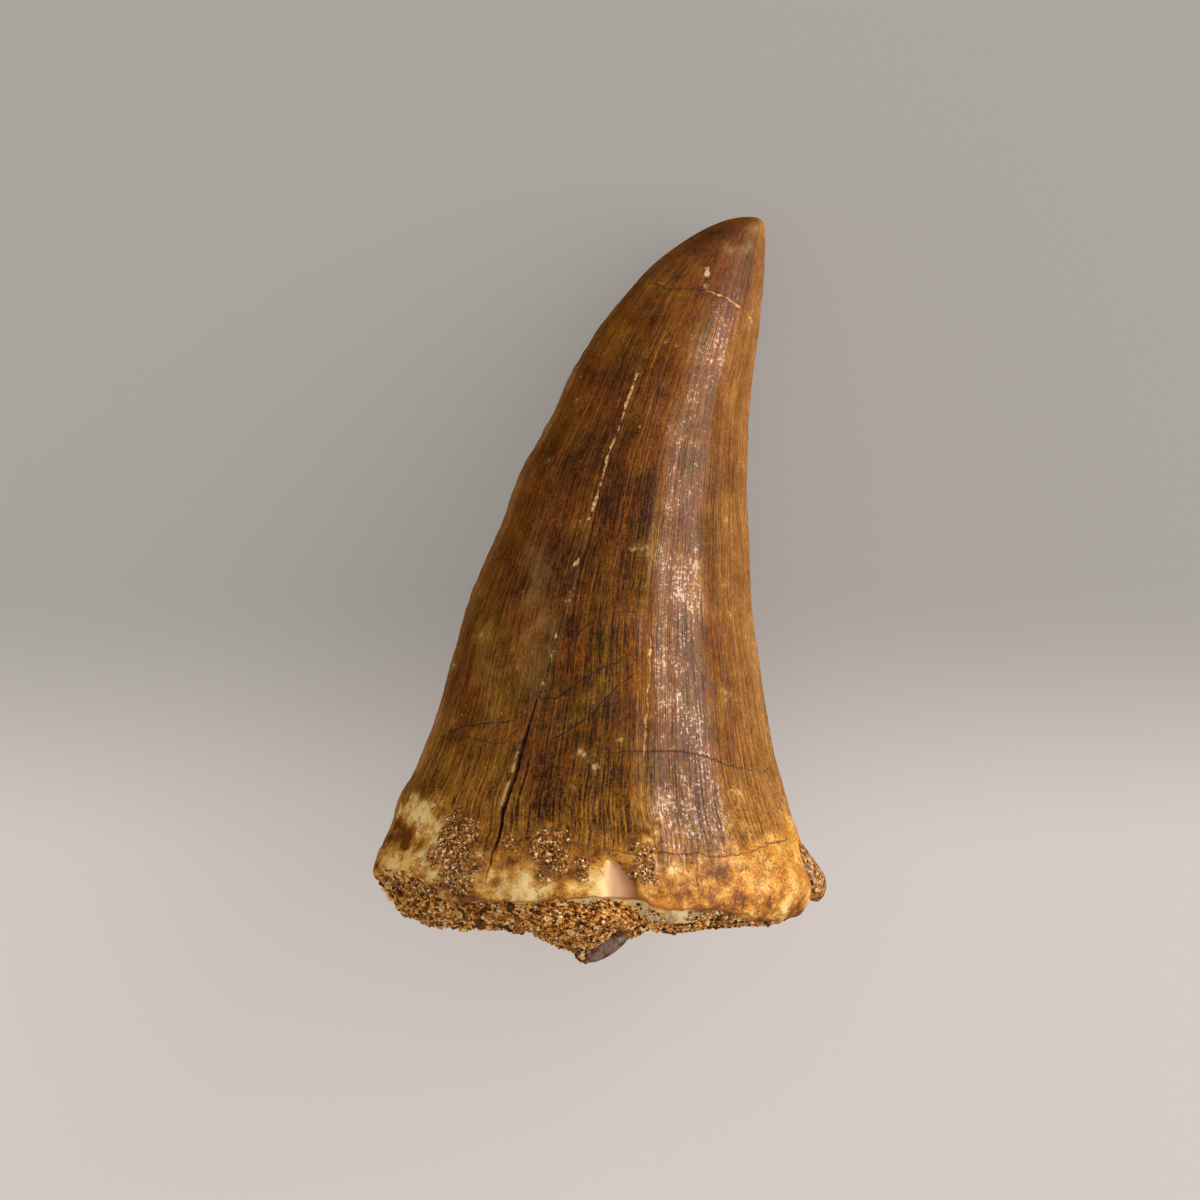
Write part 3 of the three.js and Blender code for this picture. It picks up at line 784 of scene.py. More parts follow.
def with_poles(grid, facts):
    """The grid's points and facts with one more point at each end"""
    points = np.concatenate([grid.reshape(-1, 3), [grid[0].mean(0)], [grid[-1].mean(0)]])
    count = grid.shape[1]
    for key, values in facts.items():
        ends = [values[:count].mean(0), values[-count:].mean(0)]
        facts[key] = np.concatenate([values, np.array(ends)])
    return points, facts


grid, degrees, above_rim = crown_grid()
crown_points, crown_facts = dress_crown(grid, degrees, above_rim)
crown_points, crown_facts = with_poles(crown_points, crown_facts)

# Fossil enamel, the tooth's own apatite stained by iron: brown with fine lengthways striae that
# catch the light, orange and cream where the enamel ends, and dark dirt in its cracks, with
# painted shade deep in the long crack.
enamel, tree, shader = new_material("fossil enamel", IOR=1.6)
DIRT = "#2a0f05"
# Cream to brown across the chip: partly the dentine it bares, partly painted light and shade
# across its bowl
CHIP_SHADES = [
    (0.1, "#fbdfa0"), (0.24, "#f6d898"), (0.38, "#e2b284"), (0.62, "#cf9468"), (0.88, "#9a6226"),
]
BASE_SHADES = [
    (0.28, "#6e3a08"), (0.38, "#a8641a"), (0.48, "#cc862c"), (0.58, "#e8ae54"), (0.72, "#fdda90"),
]
BODY_SHADES = [(0.14, "#381903"), (0.5, "#7b4206"), (0.92, "#b2700f")]
HONEY_SHADES = [(0.2, "#381903"), (0.5, "#96600f"), (0.85, "#dd9030")]
EDGE_SHADES = [(0.1, "#7b4206"), (0.5, "#a6703a"), (0.9, "#d8a468")]
FILL_SHADES = [(0.42, "#bc7c30"), (0.6, "#f0c680")]
OLIVE_SHADES = [(0.14, "#301e03"), (0.5, "#704b06"), (0.92, "#a87c18")]
RED_SHADES = [(0.14, "#3a1405"), (0.5, "#7c380a"), (0.92, "#aa6018")]
RUST_SHADES = [(0.34, "#b0600f"), (0.5, "#e09430"), (0.66, "#f8c468")]
SAND_UNDER = [(0.38, "#3c1c06"), (0.5, "#8a5420"), (0.66, "#e0b070")]
STRIA = 0.36  # millimetres from one stria to the next


def sum_of(parts, start):
    """Start plus each value times its weight"""
    total = start
    for value, weight in parts:
        total = add(
            tree,
            "ShaderNodeMath",
            {0: value, 1: weight, 2: total},
            operation="MULTIPLY_ADD",
        )
    return total


def product(*factors):
    """The product of several values"""
    total = factors[0]
    for factor in factors[1:]:
        total = add(tree, "ShaderNodeMath", {0: total, 1: factor}, operation="MULTIPLY")
    return total


# What each point of the crown knows
known = {
    name: add(tree, "ShaderNodeAttribute", attribute_name=name).outputs["Fac"]
    for name in crown_facts
}
place = add(tree, "ShaderNodeTexCoord").outputs["Object"]
striae = add(tree, "ShaderNodeAttribute", attribute_name="striae").outputs["Vector"]

# Streaks that follow the striae, from narrow to wide, and spots of several sizes
streaks = []
for across, along, detail, rough in (
    (2 / STRIA, 0.21, 1, 0.5), (6.5, 1.5, 2, 0.6), (0.5, 0.06, 2, 0.6), (0.3, 0.2, 4, 0.6),
):
    scales = (across, across, along)
    drawn = add(tree, "ShaderNodeVectorMath", {0: striae, 1: scales}, operation="MULTIPLY")
    inputs = {"Vector": drawn, "Scale": 1, "Detail": detail, "Roughness": rough}
    streaks.append(add(tree, "ShaderNodeTexNoise", inputs).outputs[0])
fine, dashes, broad, hue = streaks
spots = []
for scale, detail, rough in (
    (160, 4, 0.65), (240, 5, 0.62), (430, 5, 0.68), (1100, 2, 0.6), (1300, 2, 0.6), (3600, 1, 0.6),
    (5200, 2, 0.7),
):
    inputs = {"Vector": place, "Scale": scale, "Detail": detail, "Roughness": rough}
    spots.append(add(tree, "ShaderNodeTexNoise", inputs).outputs[0])
mottle, marbling, stain, dots, wrinkles, crinkle, speckle = spots

tone = sum_of(
    [(fine, 0.9), (dashes, 0.9), (speckle, 0.6), (broad, 0.3), (mottle, 0.9), (stain, 0.6)], -1.6
)
# Painted shade darkens the band down the left middle; the dusky patches are darker, redder enamel
tone = sum_of([(known["shaded"], -0.16), (known["dusky"], -0.13)], tone)

# The colours, each laid over the ones before it by a share
colour = add(tree, "ShaderNodeValToRGB", {0: tone}, stops=BODY_SHADES)
layers = []
layers.append(
    (
        add(tree, "ShaderNodeMapRange", {0: hue, 1: 0.48, 2: 0.62, 3: 0, 4: 0.6}, **EASED),
        add(tree, "ShaderNodeValToRGB", {0: tone}, stops=OLIVE_SHADES),
    ),
)
reddened = add(
    tree,
    "ShaderNodeMath",
    {
        0: add(tree, "ShaderNodeMapRange", {0: hue, 1: 0.46, 2: 0.36, 3: 0, 4: 0.35}, **EASED),
        1: product(known["dusky"], 0.4),
    },
    operation="MAXIMUM",
)
layers.append((reddened, add(tree, "ShaderNodeValToRGB", {0: tone}, stops=RED_SHADES)))
# Painted highlight: pale patches where soft light would catch the enamel, some on pale scuffs
layers.append(
    (
        product(
            known["scuffs_and_highlight"],
            add(tree, "ShaderNodeMapRange", {0: stain, 1: 0.4, 2: 0.6, 3: 0.1, 4: 0.35}, **EASED),
        ),
        "#a48450",
    ),
)
cells = add(tree, "ShaderNodeTexVoronoi", {"Vector": place, "Scale": 620})
chosen = add(tree, "ShaderNodeSeparateColor", {0: cells.outputs["Color"]})
middles = add(
    tree,
    "ShaderNodeMapRange",
    {0: cells.outputs["Distance"], 1: 0.08, 2: 0.03},
    **EASED,
)
specks = product(
    middles,
    add(tree, "ShaderNodeMapRange", {0: chosen.outputs[0], 1: 0.78, 2: 0.8}, **EASED),
    0.7,
)
layers.append((specks, "#d8b070"))

# Towards the rim the enamel thins and turns to honey, then stops at the pale, stained cementum
level = sum_of([(mottle, 7), (broad, 5), (stain, 4), (known["honey_level"], 1)], -8)
honeyed = add(tree, "ShaderNodeMapRange", {0: level, 1: 4.5, 2: 12.5, 3: 0.85, 4: 0}, **EASED)
layers.append((honeyed, add(tree, "ShaderNodeValToRGB", {0: tone}, stops=HONEY_SHADES)))
layers.append(
    (product(known["keel"], 0.85), add(tree, "ShaderNodeValToRGB", {0: tone}, stops=EDGE_SHADES)),
)
cream, dark = known["cream"], known["dark"]
base_tone = sum_of([(stain, 1.6), (speckle, 0.35), (cream, 0.2), (dark, -0.18)], -0.52)
above = known["above_rim"]
low_down = add(
    tree,
    "ShaderNodeMapRange",
    {0: sum_of([(above, 1), (stain, 9), (mottle, 7)], -8), 1: 2.2, 2: 4.6, 3: 0.95, 4: 0},
    **EASED,
)
placed = add(
    tree,
    "ShaderNodeMapRange",
    {
        0: sum_of(
            [
                (add(tree, "ShaderNodeMath", {0: cream, 1: dark}, operation="MAXIMUM"), 1),
                (stain, 1.7),
            ],
            -0.85,
        ),
        1: 0.2,
        2: 0.6,
        3: 0,
        4: 0.95,
    },
    **EASED,
)
base_share = add(tree, "ShaderNodeMath", {0: low_down, 1: placed}, operation="MAXIMUM")
layers.append((base_share, add(tree, "ShaderNodeValToRGB", {0: base_tone}, stops=BASE_SHADES)))
rusted = add(
    tree,
    "ShaderNodeMapRange",
    {0: sum_of([(known["rust"], 1), (stain, 1.6)], -0.8), 1: 0.25, 2: 0.8, 3: 0, 4: 0.75},
    **EASED,
)
rust = sum_of([(stain, 1.0), (speckle, 0.7)], -0.35)
layers.append((rusted, add(tree, "ShaderNodeValToRGB", {0: rust}, stops=RUST_SHADES)))
layers.append(
    (
        product(
            known["stained"],
            add(
                tree,
                "ShaderNodeMapRange",
                {0: stain, 1: 0.56, 2: 0.42, 3: 0.1, 4: 0.75},
                **EASED,
            ),
        ),
        "#6e3a0e",
    ),
)
layers.append(
    (
        product(known["sand"], 0.85),
        add(tree, "ShaderNodeValToRGB", {0: speckle}, stops=SAND_UNDER),
    ),
)
# The chip runs from cream on its left wall to brown on its right: partly its own colour, partly
# painted light and shade
chip_dentine_and_shade = sum_of([(stain, 0.5), (known["chip_side"], 1)], -0.25)
layers.append(
    (
        product(known["chip"], 0.92),
        add(tree, "ShaderNodeValToRGB", {0: chip_dentine_and_shade}, stops=CHIP_SHADES),
    ),
)
unchipped = add(tree, "ShaderNodeMapRange", {0: known["chip"], 1: 0, 2: 0.5, 3: 1, 4: 0}, **EASED)

# Brown veins in the cementum, and the brown line along the rim
veins = add(
    tree,
    "ShaderNodeMath",
    {0: add(tree, "ShaderNodeMath", {0: marbling, 1: 0.5}, operation="SUBTRACT")},
    operation="ABSOLUTE",
)
veined = product(
    add(tree, "ShaderNodeMapRange", {0: veins, 1: 0.018, 2: 0.003}, **EASED),
    add(tree, "ShaderNodeMapRange", {0: level, 1: 5, 2: 9, 3: 0.6, 4: 0}, **EASED),
    add(tree, "ShaderNodeMapRange", {0: stain, 1: 0.42, 2: 0.5}, **EASED),
)
layers.append((product(veined, unchipped), "#7a4516"))
walled = product(
    add(tree, "ShaderNodeMapRange", {0: above, 1: -0.2, 2: -0.5, 3: 0, 4: 0.75}, **EASED),
    known["walled"],
)
layers.append(
    (
        product(
            walled,
            add(tree, "ShaderNodeMapRange", {0: stain, 1: 0.4, 2: 0.55, 3: 0.4, 4: 1}, **EASED),
        ),
        "#fae0ac",
    ),
)
layers.append(
    (
        add(
            tree,
            "ShaderNodeMapRange",
            {
                0: add(tree, "ShaderNodeMath", {0: above}, operation="ABSOLUTE"),
                1: 0.2,
                2: 0.08,
                3: 0,
                4: 0.55,
            },
            **EASED,
        ),
        "#8a4412",
    ),
)
layers.append((product(known["lip"], 0.9), "#b8641c"))

# Cracks: each line's own distance, shaken a little so that its edges are uneven, and fainter in
# some stretches
shake = sum_of([(speckle, 0.14), (stain, 0.2), (dots, 0.16)], -0.25)
filling = add(tree, "ShaderNodeValToRGB", {0: speckle}, stops=FILL_SHADES)
dents = 0.0
for name, (_, half_width, _, _) in CRACKS.items():
    shows = known[name + "_show"]
    off = add(tree, "ShaderNodeMath", {0: sum_of([(known[name], 1)], shake)}, operation="ABSOLUTE")
    if name == "filled_crack":
        line = add(
            tree,
            "ShaderNodeMapRange",
            {0: sum_of([(dots, -0.6)], off), 1: half_width - 0.3, 2: half_width - 0.4},
            **EASED,
        )
        layers.append((product(line, shows), filling))
    else:
        line = product(
            add(tree, "ShaderNodeMapRange", {0: off, 1: half_width, 2: half_width * 0.2}, **EASED),
            add(
                tree,
                "ShaderNodeMapRange",
                {0: stain, 1: 0.38, 2: 0.56, 3: 0.2, 4: 0.85},
                **EASED,
            ),
        )
        layers.append((product(line, shows), DIRT))
    dent = product(
        add(
            tree,
            "ShaderNodeMapRange",
            {
                0: add(tree, "ShaderNodeMath", {0: known[name]}, operation="ABSOLUTE"),
                1: half_width * 1.4,
                2: 0,
            },
            **EASED,
        ),
        shows,
    )
    dents = add(tree, "ShaderNodeMath", {0: dent, 1: dents}, operation="MAXIMUM")
off = add(
    tree,
    "ShaderNodeMath",
    {0: sum_of([(known["long_crack"], 1)], shake)},
    operation="ABSOLUTE",
)
near = known["long_crack_near"]
layers.append(
    (
        product(
            add(tree, "ShaderNodeMapRange", {0: off, 1: 0.14, 2: 0.04, 3: 0, 4: 0.45}, **EASED),
            near,
        ),
        DIRT,
    ),
)
fill = known["long_fill"]
gaps = add(
    tree,
    "ShaderNodeMapRange",
    {0: sum_of([(dots, 1), (fill, 0.24)], 0), 1: 0.62, 2: 0.72},
    **EASED,
)
filled = product(
    add(tree, "ShaderNodeMapRange", {0: sum_of([(dots, -0.5)], off), 1: -0.13, 2: -0.21}, **EASED),
    near,
    gaps,
    add(tree, "ShaderNodeMapRange", {0: fill, 1: 0, 2: 0.2}, **EASED),
)
layers.append((filled, filling))
lit = product(
    known["long_lip"],
    add(tree, "ShaderNodeMapRange", {0: dots, 1: 0.42, 2: 0.55, 3: 0, 4: 0.9}, **EASED),
)
layers.append((lit, "#dfa868"))
# The long crack darkened inside with its depth: partly dirt, partly painted shade
layers.append((known["in_crack"], "#34110a"))
flaked = sum_of([(known["flake"], 1), (dots, 3), (speckle, 1)], -2)
layers.append(
    (
        add(tree, "ShaderNodeMapRange", {0: flaked, 1: 1.15, 2: 0.7, 3: 0, 4: 0.9}, **EASED),
        "#e6c48c",
    ),
)
for share, over in layers:
    over = linear(over) if isinstance(over, str) else over
    colour = add(tree, "ShaderNodeMix", {0: share, 6: colour, 7: over}, data_type="RGBA")

# Worn satin, with a high polish on the crests of the striae, which glint. Dirt in a crack is dull.
STRIA_DEPTH = 0.07
striated = known["striated"]
dirty = add(
    tree,
    "ShaderNodeMath",
    {
        0: dents,
        1: product(
            add(
                tree,
                "ShaderNodeMapRange",
                {
                    0: add(tree, "ShaderNodeMath", {0: known["long_crack"]}, operation="ABSOLUTE"),
                    1: 0.45,
                    2: 0.2,
                },
                **EASED,
            ),
            near,
        ),
    },
    operation="MAXIMUM",
)
open_skin = add(tree, "ShaderNodeMath", {0: 1.0, 1: dirty}, operation="SUBTRACT")
rough = sum_of([(fine, -0.2), (striated, -0.26), (mottle, -0.2), (dirty, 0.35)], 0.83)
streaked = product(sum_of([(fine, 0.7), (dashes, 0.4)], 0.0), striated)
ridge = sum_of([(streaked, 1), (speckle, 0.3), (dents, -0.5)], 0.0)
crests = sum_of([(dashes, 0.3), (fine, 0.25), (crinkle, 0.7), (mottle, 0.5), (stain, 0.4)], -0.575)
crests = sum_of([(known["wrinkled"], 0.07)], crests)
crests = product(
    add(tree, "ShaderNodeMapRange", {0: crests, 1: 0.57, 2: 0.67}, **EASED),
    add(tree, "ShaderNodeMapRange", {0: base_share, 1: 0, 2: 1, 3: 1, 4: 0.2}, **EASED),
)
crests = product(
    crests,
    add(tree, "ShaderNodeMapRange", {0: striated, 1: 0.3, 2: 0.95}, **EASED),
    open_skin,
)
wrinkles = product(wrinkles, known["wrinkled"], 4)
finish = {
    "Base Color": colour,
    "Specular IOR Level": 0.35,
    "Specular Tint": linear("#f8e0d2"),
    "Roughness": rough,
    "Normal": add(
        tree,
        "ShaderNodeBump",
        {"Strength": 0.5, "Distance": STRIA_DEPTH * MM, "Height": ridge},
    ),
    "Coat Weight": crests,
    "Coat Roughness": 0.16,
    "Coat IOR": 1.8,
    "Coat Normal": add(
        tree,
        "ShaderNodeBump",
        {"Strength": 0.36, "Distance": STRIA_DEPTH * MM, "Height": sum_of([(ridge, 1)], wrinkles)},
    ),
}
feed(tree, shader, finish)

crown = new_piece("crown_enamel", crown_points, closed_faces(*grid.shape[:2]), enamel, crown_facts)
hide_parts("crown")
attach(crown, "root")


# The matrix
# The phosphate sand that the tooth was buried in, cemented brown. It fills the pulp cavity,
# stands out below the broken rim, and is drawn out to a blunt nub under the middle.
MATRIX_LEVEL = 2.8
NUB = {"left": 5.6, "right": 4.6, "deep": 5.2, "z": 15.2, "drop": 2.8}
MATRIX_INSET = [(0, 2), (45, 1.6), (68, 1.9), (90, 1.1), (135, 0.2), (180, 0), (215, 0.8),
                (270, 1.7), (315, 1.6), (360, 2)]
MATRIX_COLUMNS = 320
FLOOR_ROWS = 52
SIDE_ROWS = 16
PIT = (8.1, 22.6)  # sideways and up, the dark hole in the matrix by the rim
matrix_inset = curve(MATRIX_INSET)


def matrix_floor(x, z):
    """Height of the matrix's lower face"""
    reach = np.where(x < 0, NUB["left"], NUB["right"])
    away = np.minimum(1, np.hypot(x / reach, (z - NUB["z"]) / NUB["deep"]))
    hollow = 0.3 * bell(x - 6.8, 1.6)
    bumps = 0.18 * np.sin(0.95 * x + 0.9) * np.cos(0.85 * z) + 0.1 * np.sin(1.7 * z + 1.3 * x)
    rim = 0.5 * (np.abs(x) / 16) ** 4
    bared = 0.9 * bell(x - 2, 1.1) * bell(z - 17, 1.9)
    return MATRIX_LEVEL + rim - NUB["drop"] * (1 - away) - hollow + bumps * away + bared


def matrix_edge(degrees, height):
    """The matrix's side, which stands back a little from the crown's outline"""
    angle = np.radians(degrees)
    wobble = 0.22 * np.sin(7 * angle + 2) + 0.16 * np.cos(13 * angle)
    return skin(degrees, np.maximum(2.2, height) + 0 * degrees, wobble - matrix_inset(degrees))


def matrix_grid():
    """Points of the matrix, in rows from the nub out over the floor and up the side"""
    degrees = np.linspace(0, 360, MATRIX_COLUMNS, endpoint=False)
    edge = matrix_edge(degrees, 3.2)
    rows = []
    for share in np.linspace(0.012, 0.985, FLOOR_ROWS):
        x = edge[:, 0] * share
        z = NUB["z"] + (edge[:, 2] - NUB["z"]) * share
        height = matrix_floor(x, z)
        rows.append(np.stack([x, height + 0.5 * smooth(share, 0.9, 1) ** 2, z], -1))
    start = rows[-1][:, 1]
    top = rim_height(degrees) + 0.7
    for share in np.linspace(0.08, 1, SIDE_ROWS):
        rows.append(matrix_edge(degrees, start + (top - start) * share))
    inner = rows[-1] * (0.85, 1, 0.85) + (0, 1.2, 0.15 * (back_height(5) + thickness(5) / 2))
    rows.append(inner)
    return np.array(rows), np.array([top] * len(rows))


matrix_rows, matrix_top = matrix_grid()
matrix_normals = grid_normals(matrix_rows)
flat = matrix_rows.reshape(-1, 3)
rough_sand = 0.1 * lumps(flat, 2.6, 31) + 0.09 * lumps(flat, 1.1, 32)
rough_sand += 0.06 * lumps(flat, 0.55, 33)
hole = (bell(flat[:, 0] - PIT[0], 0.42) * bell(flat[:, 2] - PIT[1], 1.2)) ** 1.5
rough_sand -= hole
matrix_points = flat + matrix_normals.reshape(-1, 3) * rough_sand[:, None]
under_rim = matrix_top.ravel() - flat[:, 1]
matrix_facts = {
    "bare": smooth(under_rim - 0.55, 0, 0.15) * (1 - 0.7 * hole),
    "coarse": smooth(under_rim - 0.9, 0, 0.15) * (1 - smooth(flat[:, 0], -6, -2)),
    "grain_tone": np.random.default_rng(34).uniform(0, 1, len(flat)),
}

# Cemented phosphate sand: matt, with grains of gold, brown, cream and near black, some glassy
sand_finish, tree, shader = new_material("phosphate sand", IOR=1.55)
SAND_SHADES = [
    (0.04, "#261004"), (0.26, "#5a2a08"), (0.44, "#a05a14"), (0.64, "#dc8f30"),
    (0.79, "#fcc46a"), (0.9, "#fff0c4"), (0.98, "#c0602a"),
]
place = add(tree, "ShaderNodeTexCoord").outputs["Object"]
axes = add(tree, "ShaderNodeSeparateXYZ", {0: place})
tone = add(tree, "ShaderNodeAttribute", attribute_name="grain_tone").outputs["Fac"]
grit = add(
    tree,
    "ShaderNodeTexNoise",
    {"Vector": place, "Scale": 3800, "Detail": 2, "Roughness": 0.6},
)
mixed = sum_of(
    [
        (
            add(
                tree,
                "ShaderNodeTexNoise",
                {"Vector": place, "Scale": 420, "Detail": 4, "Roughness": 0.6},
            ),
            0.6,
        ),
        (grit, 0.7),
        (tone, 0.9),
    ],
    -0.57,
)
olive = add(
    tree,
    "ShaderNodeMapRange",
    {0: axes.outputs["X"], 1: -2 * MM, 2: -12 * MM, 3: 0, 4: 0.12},
)
finish = {
    "Base Color": add(
        tree,
        "ShaderNodeMix",
        {
            0: olive,
            6: add(tree, "ShaderNodeValToRGB", {0: mixed}, stops=SAND_SHADES),
            7: linear("#8e6a22"),
        },
        data_type="RGBA",
    ),
    "Specular Tint": linear("#f4d6b0"),
    "Roughness": add(tree, "ShaderNodeMapRange", {0: tone, 1: 0.7, 2: 0.97, 3: 0.8, 4: 0.25}),
    "Normal": add(
        tree,
        "ShaderNodeBump",
        {"Strength": 0.7, "Distance": 0.08 * MM, "Height": grit},
    ),
}
feed(tree, shader, finish)

matrix_points, matrix_facts = with_poles(matrix_points.reshape(matrix_rows.shape), matrix_facts)
matrix = new_piece(
    "matrix_body",
    matrix_points,
    closed_faces(*matrix_rows.shape[:2]),
    sand_finish,
    matrix_facts,
)
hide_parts("matrix")
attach(matrix, "root")


# The loose-looking grains
# Single grains of the same sand, 0.2 to 0.5 mm across, standing half out of the matrix, and in
# patches still stuck to the enamel.
def grain_tree():
    """Scatters angular grains over the part of a surface that an attribute marks"""
    tree = bpy.data.node_groups.new("sand grains", "GeometryNodeTree")
    face = tree.interface
    face.new_socket("Surface", in_out="INPUT", socket_type="NodeSocketGeometry")
    for name, kind in (
        ("Mark", "NodeSocketString"),
        ("Grain size", "NodeSocketFloat"),
        ("Spacing", "NodeSocketFloat"),
        ("Seed", "NodeSocketInt"),
        ("Finish", "NodeSocketMaterial"),
    ):
        face.new_socket(name, in_out="INPUT", socket_type=kind)
    face.new_socket("Grains", in_out="OUTPUT", socket_type="NodeSocketGeometry")
    given = add(tree, "NodeGroupInput").outputs
    mark = add(tree, "GeometryNodeInputNamedAttribute", {"Name": given["Mark"]}, data_type="FLOAT")
    place = add(tree, "GeometryNodeInputPosition")
    clumps = add(tree, "ShaderNodeTexNoise", {"Vector": place, "Scale": 900, "Detail": 3})
    clumps = add(tree, "ShaderNodeMath", {0: clumps, 1: 1.6, 2: -0.8}, operation="MULTIPLY_ADD")
    uneven = add(tree, "ShaderNodeMath", {0: mark.outputs[0], 1: clumps}, operation="ADD")
    chosen = add(tree, "ShaderNodeMath", {0: uneven, 1: 0.45}, operation="GREATER_THAN")
    points = add(
        tree,
        "GeometryNodeDistributePointsOnFaces",
        {
            "Mesh": given["Surface"], "Distance Min": given["Spacing"],
            "Density Max": 6e7, "Density Factor": chosen, "Seed": given["Seed"],
        },
        distribute_method="POISSON",
    )
    ball = add(tree, "GeometryNodeMeshIcoSphere", {"Radius": 0.5, "Subdivisions": 1})
    turn = add(
        tree,
        "FunctionNodeRandomValue",
        {0: (0, 0, 0), 1: (6.3, 6.3, 6.3), 8: 1},
        data_type="FLOAT_VECTOR",
    )
    stretch = add(
        tree,
        "FunctionNodeRandomValue",
        {0: (0.7, 0.7, 0.6), 1: (1.35, 1.2, 1), 8: 2},
        data_type="FLOAT_VECTOR",
    )
    size = add(
        tree,
        "ShaderNodeMath",
        {0: add(tree, "FunctionNodeRandomValue", {2: 0, 3: 1, 8: 3}, data_type="FLOAT"), 1: 3},
        operation="POWER",
    )
    size = add(tree, "ShaderNodeMath", {0: size, 1: 1.2, 2: 0.65}, operation="MULTIPLY_ADD")
    size = add(tree, "ShaderNodeMath", {0: size, 1: given["Grain size"]}, operation="MULTIPLY")
    scale = add(tree, "ShaderNodeVectorMath", {0: stretch, "Scale": size}, operation="SCALE")
    grains = add(
        tree,
        "GeometryNodeInstanceOnPoints",
        {"Points": points, "Instance": ball, "Rotation": turn, "Scale": scale},
    )
    marked = add(
        tree,
        "GeometryNodeStoreNamedAttribute",
        {
            "Geometry": grains,
            "Name": "grain_tone",
            "Value": add(tree, "FunctionNodeRandomValue", {2: 0, 3: 1, 8: 4}, data_type="FLOAT"),
        },
        data_type="FLOAT",
        domain="INSTANCE",
    )
    real = add(tree, "GeometryNodeRealizeInstances", {0: marked})
    dent = add(tree, "ShaderNodeTexNoise", {"Vector": place, "Scale": 5200, "Detail": 0})
    dent = {0: dent.outputs["Color"], 1: (0.5, 0.5, 0.5)}
    dent = add(tree, "ShaderNodeVectorMath", dent, operation="SUBTRACT")
    amount = add(tree, "ShaderNodeMath", {0: given["Grain size"], 1: 1.1}, operation="MULTIPLY")
    dent = add(tree, "ShaderNodeVectorMath", {0: dent, "Scale": amount}, operation="SCALE")
    uneven = add(tree, "GeometryNodeSetPosition", {"Geometry": real, "Offset": dent})
    done = add(tree, "GeometryNodeSetMaterial", {"Geometry": uneven, "Material": given["Finish"]})
    add(tree, "NodeGroupOutput", {0: done})
    return tree


grains_rule = grain_tree()


def scatter(name, carrier, mark, size, spacing, seed):
    """Grains over a carrier's marked part, as a plain mesh"""
    holder = bpy.data.objects.new(name, carrier.data)
    bpy.context.scene.collection.objects.link(holder)
    modifier = holder.modifiers.new("grains", "NODES")
    modifier.node_group = grains_rule
    values = {"Mark": mark, "Seed": seed, "Finish": sand_finish}
    values |= {"Grain size": size * MM, "Spacing": spacing * MM}
    for item in grains_rule.interface.items_tree:
        if item.name in values:
            modifier[item.identifier] = values[item.name]
    graph = bpy.context.evaluated_depsgraph_get()
    mesh = bpy.data.meshes.new_from_object(
        holder.evaluated_get(graph), preserve_all_data_layers=True, depsgraph=graph
    )
    holder.modifiers.clear()
    mesh.name = name
    holder.data = mesh
    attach(holder, "root")
    return holder


matrix_grains = scatter("matrix_grains", matrix, "bare", 0.25, 0.21, 3)
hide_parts("matrix")
coarse_grains = scatter("coarse_grains", matrix, "coarse", 0.5, 0.62, 4)
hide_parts("matrix")
scatter("stuck_grains", crown, "sand", 0.22, 0.18, 5)


# The bone fragments
# Two worn scraps of other bone, mineralised like the tooth: a dark, smooth one set in the end of
# the nub, and one cemented to the right edge of the crown.
NUB_BONE = {
    "centre": (1, 1.3, 15.2), "radii": (2.3, 1.1, 1.9), "tilt": 28, "rough": 0.1, "taper": 0,
    "seed": 3,
}
SIDE_BONE = {
    "centre": (17.55, 7.1, 11.2), "radii": (1.3, 2.6, 2.6), "tilt": 18, "rough": 0.07,
    "taper": 0.6, "seed": 5,
}
BONE_LEVELS = 6


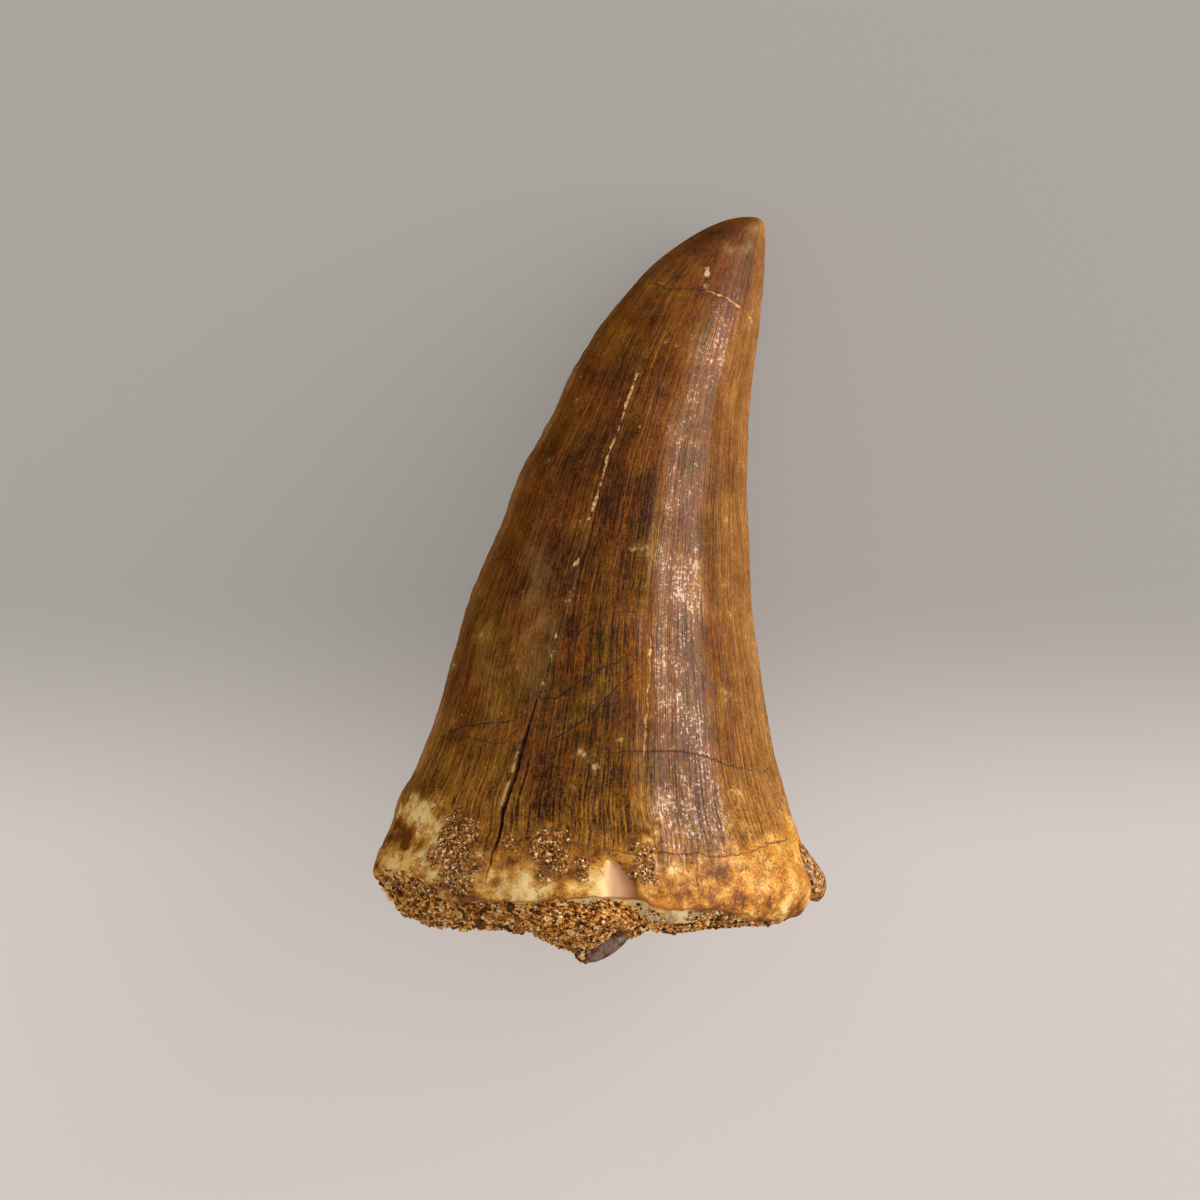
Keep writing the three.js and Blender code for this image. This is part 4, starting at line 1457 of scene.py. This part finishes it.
def bone_piece(name, shape, material, node):
    """A rounded, uneven scrap of bone"""
    ball = bmesh.new()
    bmesh.ops.create_icosphere(ball, subdivisions=BONE_LEVELS, radius=1)
    points = np.array([vertex.co for vertex in ball.verts])
    faces = [[vertex.index for vertex in face.verts] for face in ball.faces]
    ball.free()
    seed = shape["seed"]
    broad = np.sin(3.1 * points[:, 0] + seed) * np.cos(2.7 * points[:, 1] - seed)
    fine = np.sin(4.3 * points[:, 2] + 2 * seed)
    wear = 0.035 * lumps(points, 0.9, seed) + 0.012 * lumps(points, 0.3, seed + 1)
    points = points * (1 + shape["rough"] / 2 * (broad + fine) + wear)[:, None] * shape["radii"]
    tilt = math.radians(shape["tilt"])
    cos, sin = math.cos(tilt), math.sin(tilt)
    turn = np.array([[cos, sin, 0], [-sin, cos, 0], [0, 0, 1]])
    upper = np.clip(0.3 + 0.7 * points[:, 1] / shape["radii"][1], 0, 1)
    points[:, 0] *= 1 - shape["taper"] * upper
    facts = {"sandy": smooth(points[:, 1] - points[:, 0], 0.9, 1.4)}
    piece = new_piece(name, points @ turn + shape["centre"], faces, material, facts)
    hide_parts(node)
    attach(piece, "root")
    return piece


def bone_finish(name, shades, scale, roughness):
    """Mineralised bone: satin, clouded in its own browns, with fine pores"""
    material, tree, shader = new_material(name, IOR=1.55)
    place = add(tree, "ShaderNodeTexCoord").outputs["Object"]
    cloud = {"Vector": place, "Scale": scale, "Detail": 5, "Roughness": 0.65}
    cloud = add(tree, "ShaderNodeTexNoise", cloud)
    pores = add(tree, "ShaderNodeTexNoise", {"Vector": place, "Scale": 5000, "Detail": 3})
    worn = {0: pores, 3: roughness + 0.12, 4: roughness - 0.12}
    finish = {
        "Base Color": add(tree, "ShaderNodeValToRGB", {0: cloud}, stops=shades),
        "Roughness": add(tree, "ShaderNodeMapRange", worn),
        "Normal": add(
            tree,
            "ShaderNodeBump",
            {"Strength": 0.4, "Distance": 0.05 * MM, "Height": pores},
        ),
    }
    feed(tree, shader, finish)
    return material


# Smooth dark bone: purple-grey with a satin shine
dark_bone = bone_finish(
    "dark fossil bone",
    [(0.3, "#3a260f"), (0.46, "#735438"), (0.56, "#94796a"), (0.68, "#6e4e28")],
    1500,
    0.36,
)
# Brown bone: olive to red-brown, glossier where it is worn
brown_bone = bone_finish(
    "brown fossil bone",
    [(0.34, "#2e1806"), (0.45, "#784618"), (0.54, "#c0823e"), (0.66, "#fad09a")],
    3200,
    0.4,
)
nub_bone = bone_piece("nub_bone", NUB_BONE, dark_bone, "nub_fragment")
nub_grains = scatter("nub_grains", nub_bone, "sandy", 0.24, 0.2, 6)
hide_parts("matrix")
bone_piece("side_bone", SIDE_BONE, brown_bone, "side_fragment")
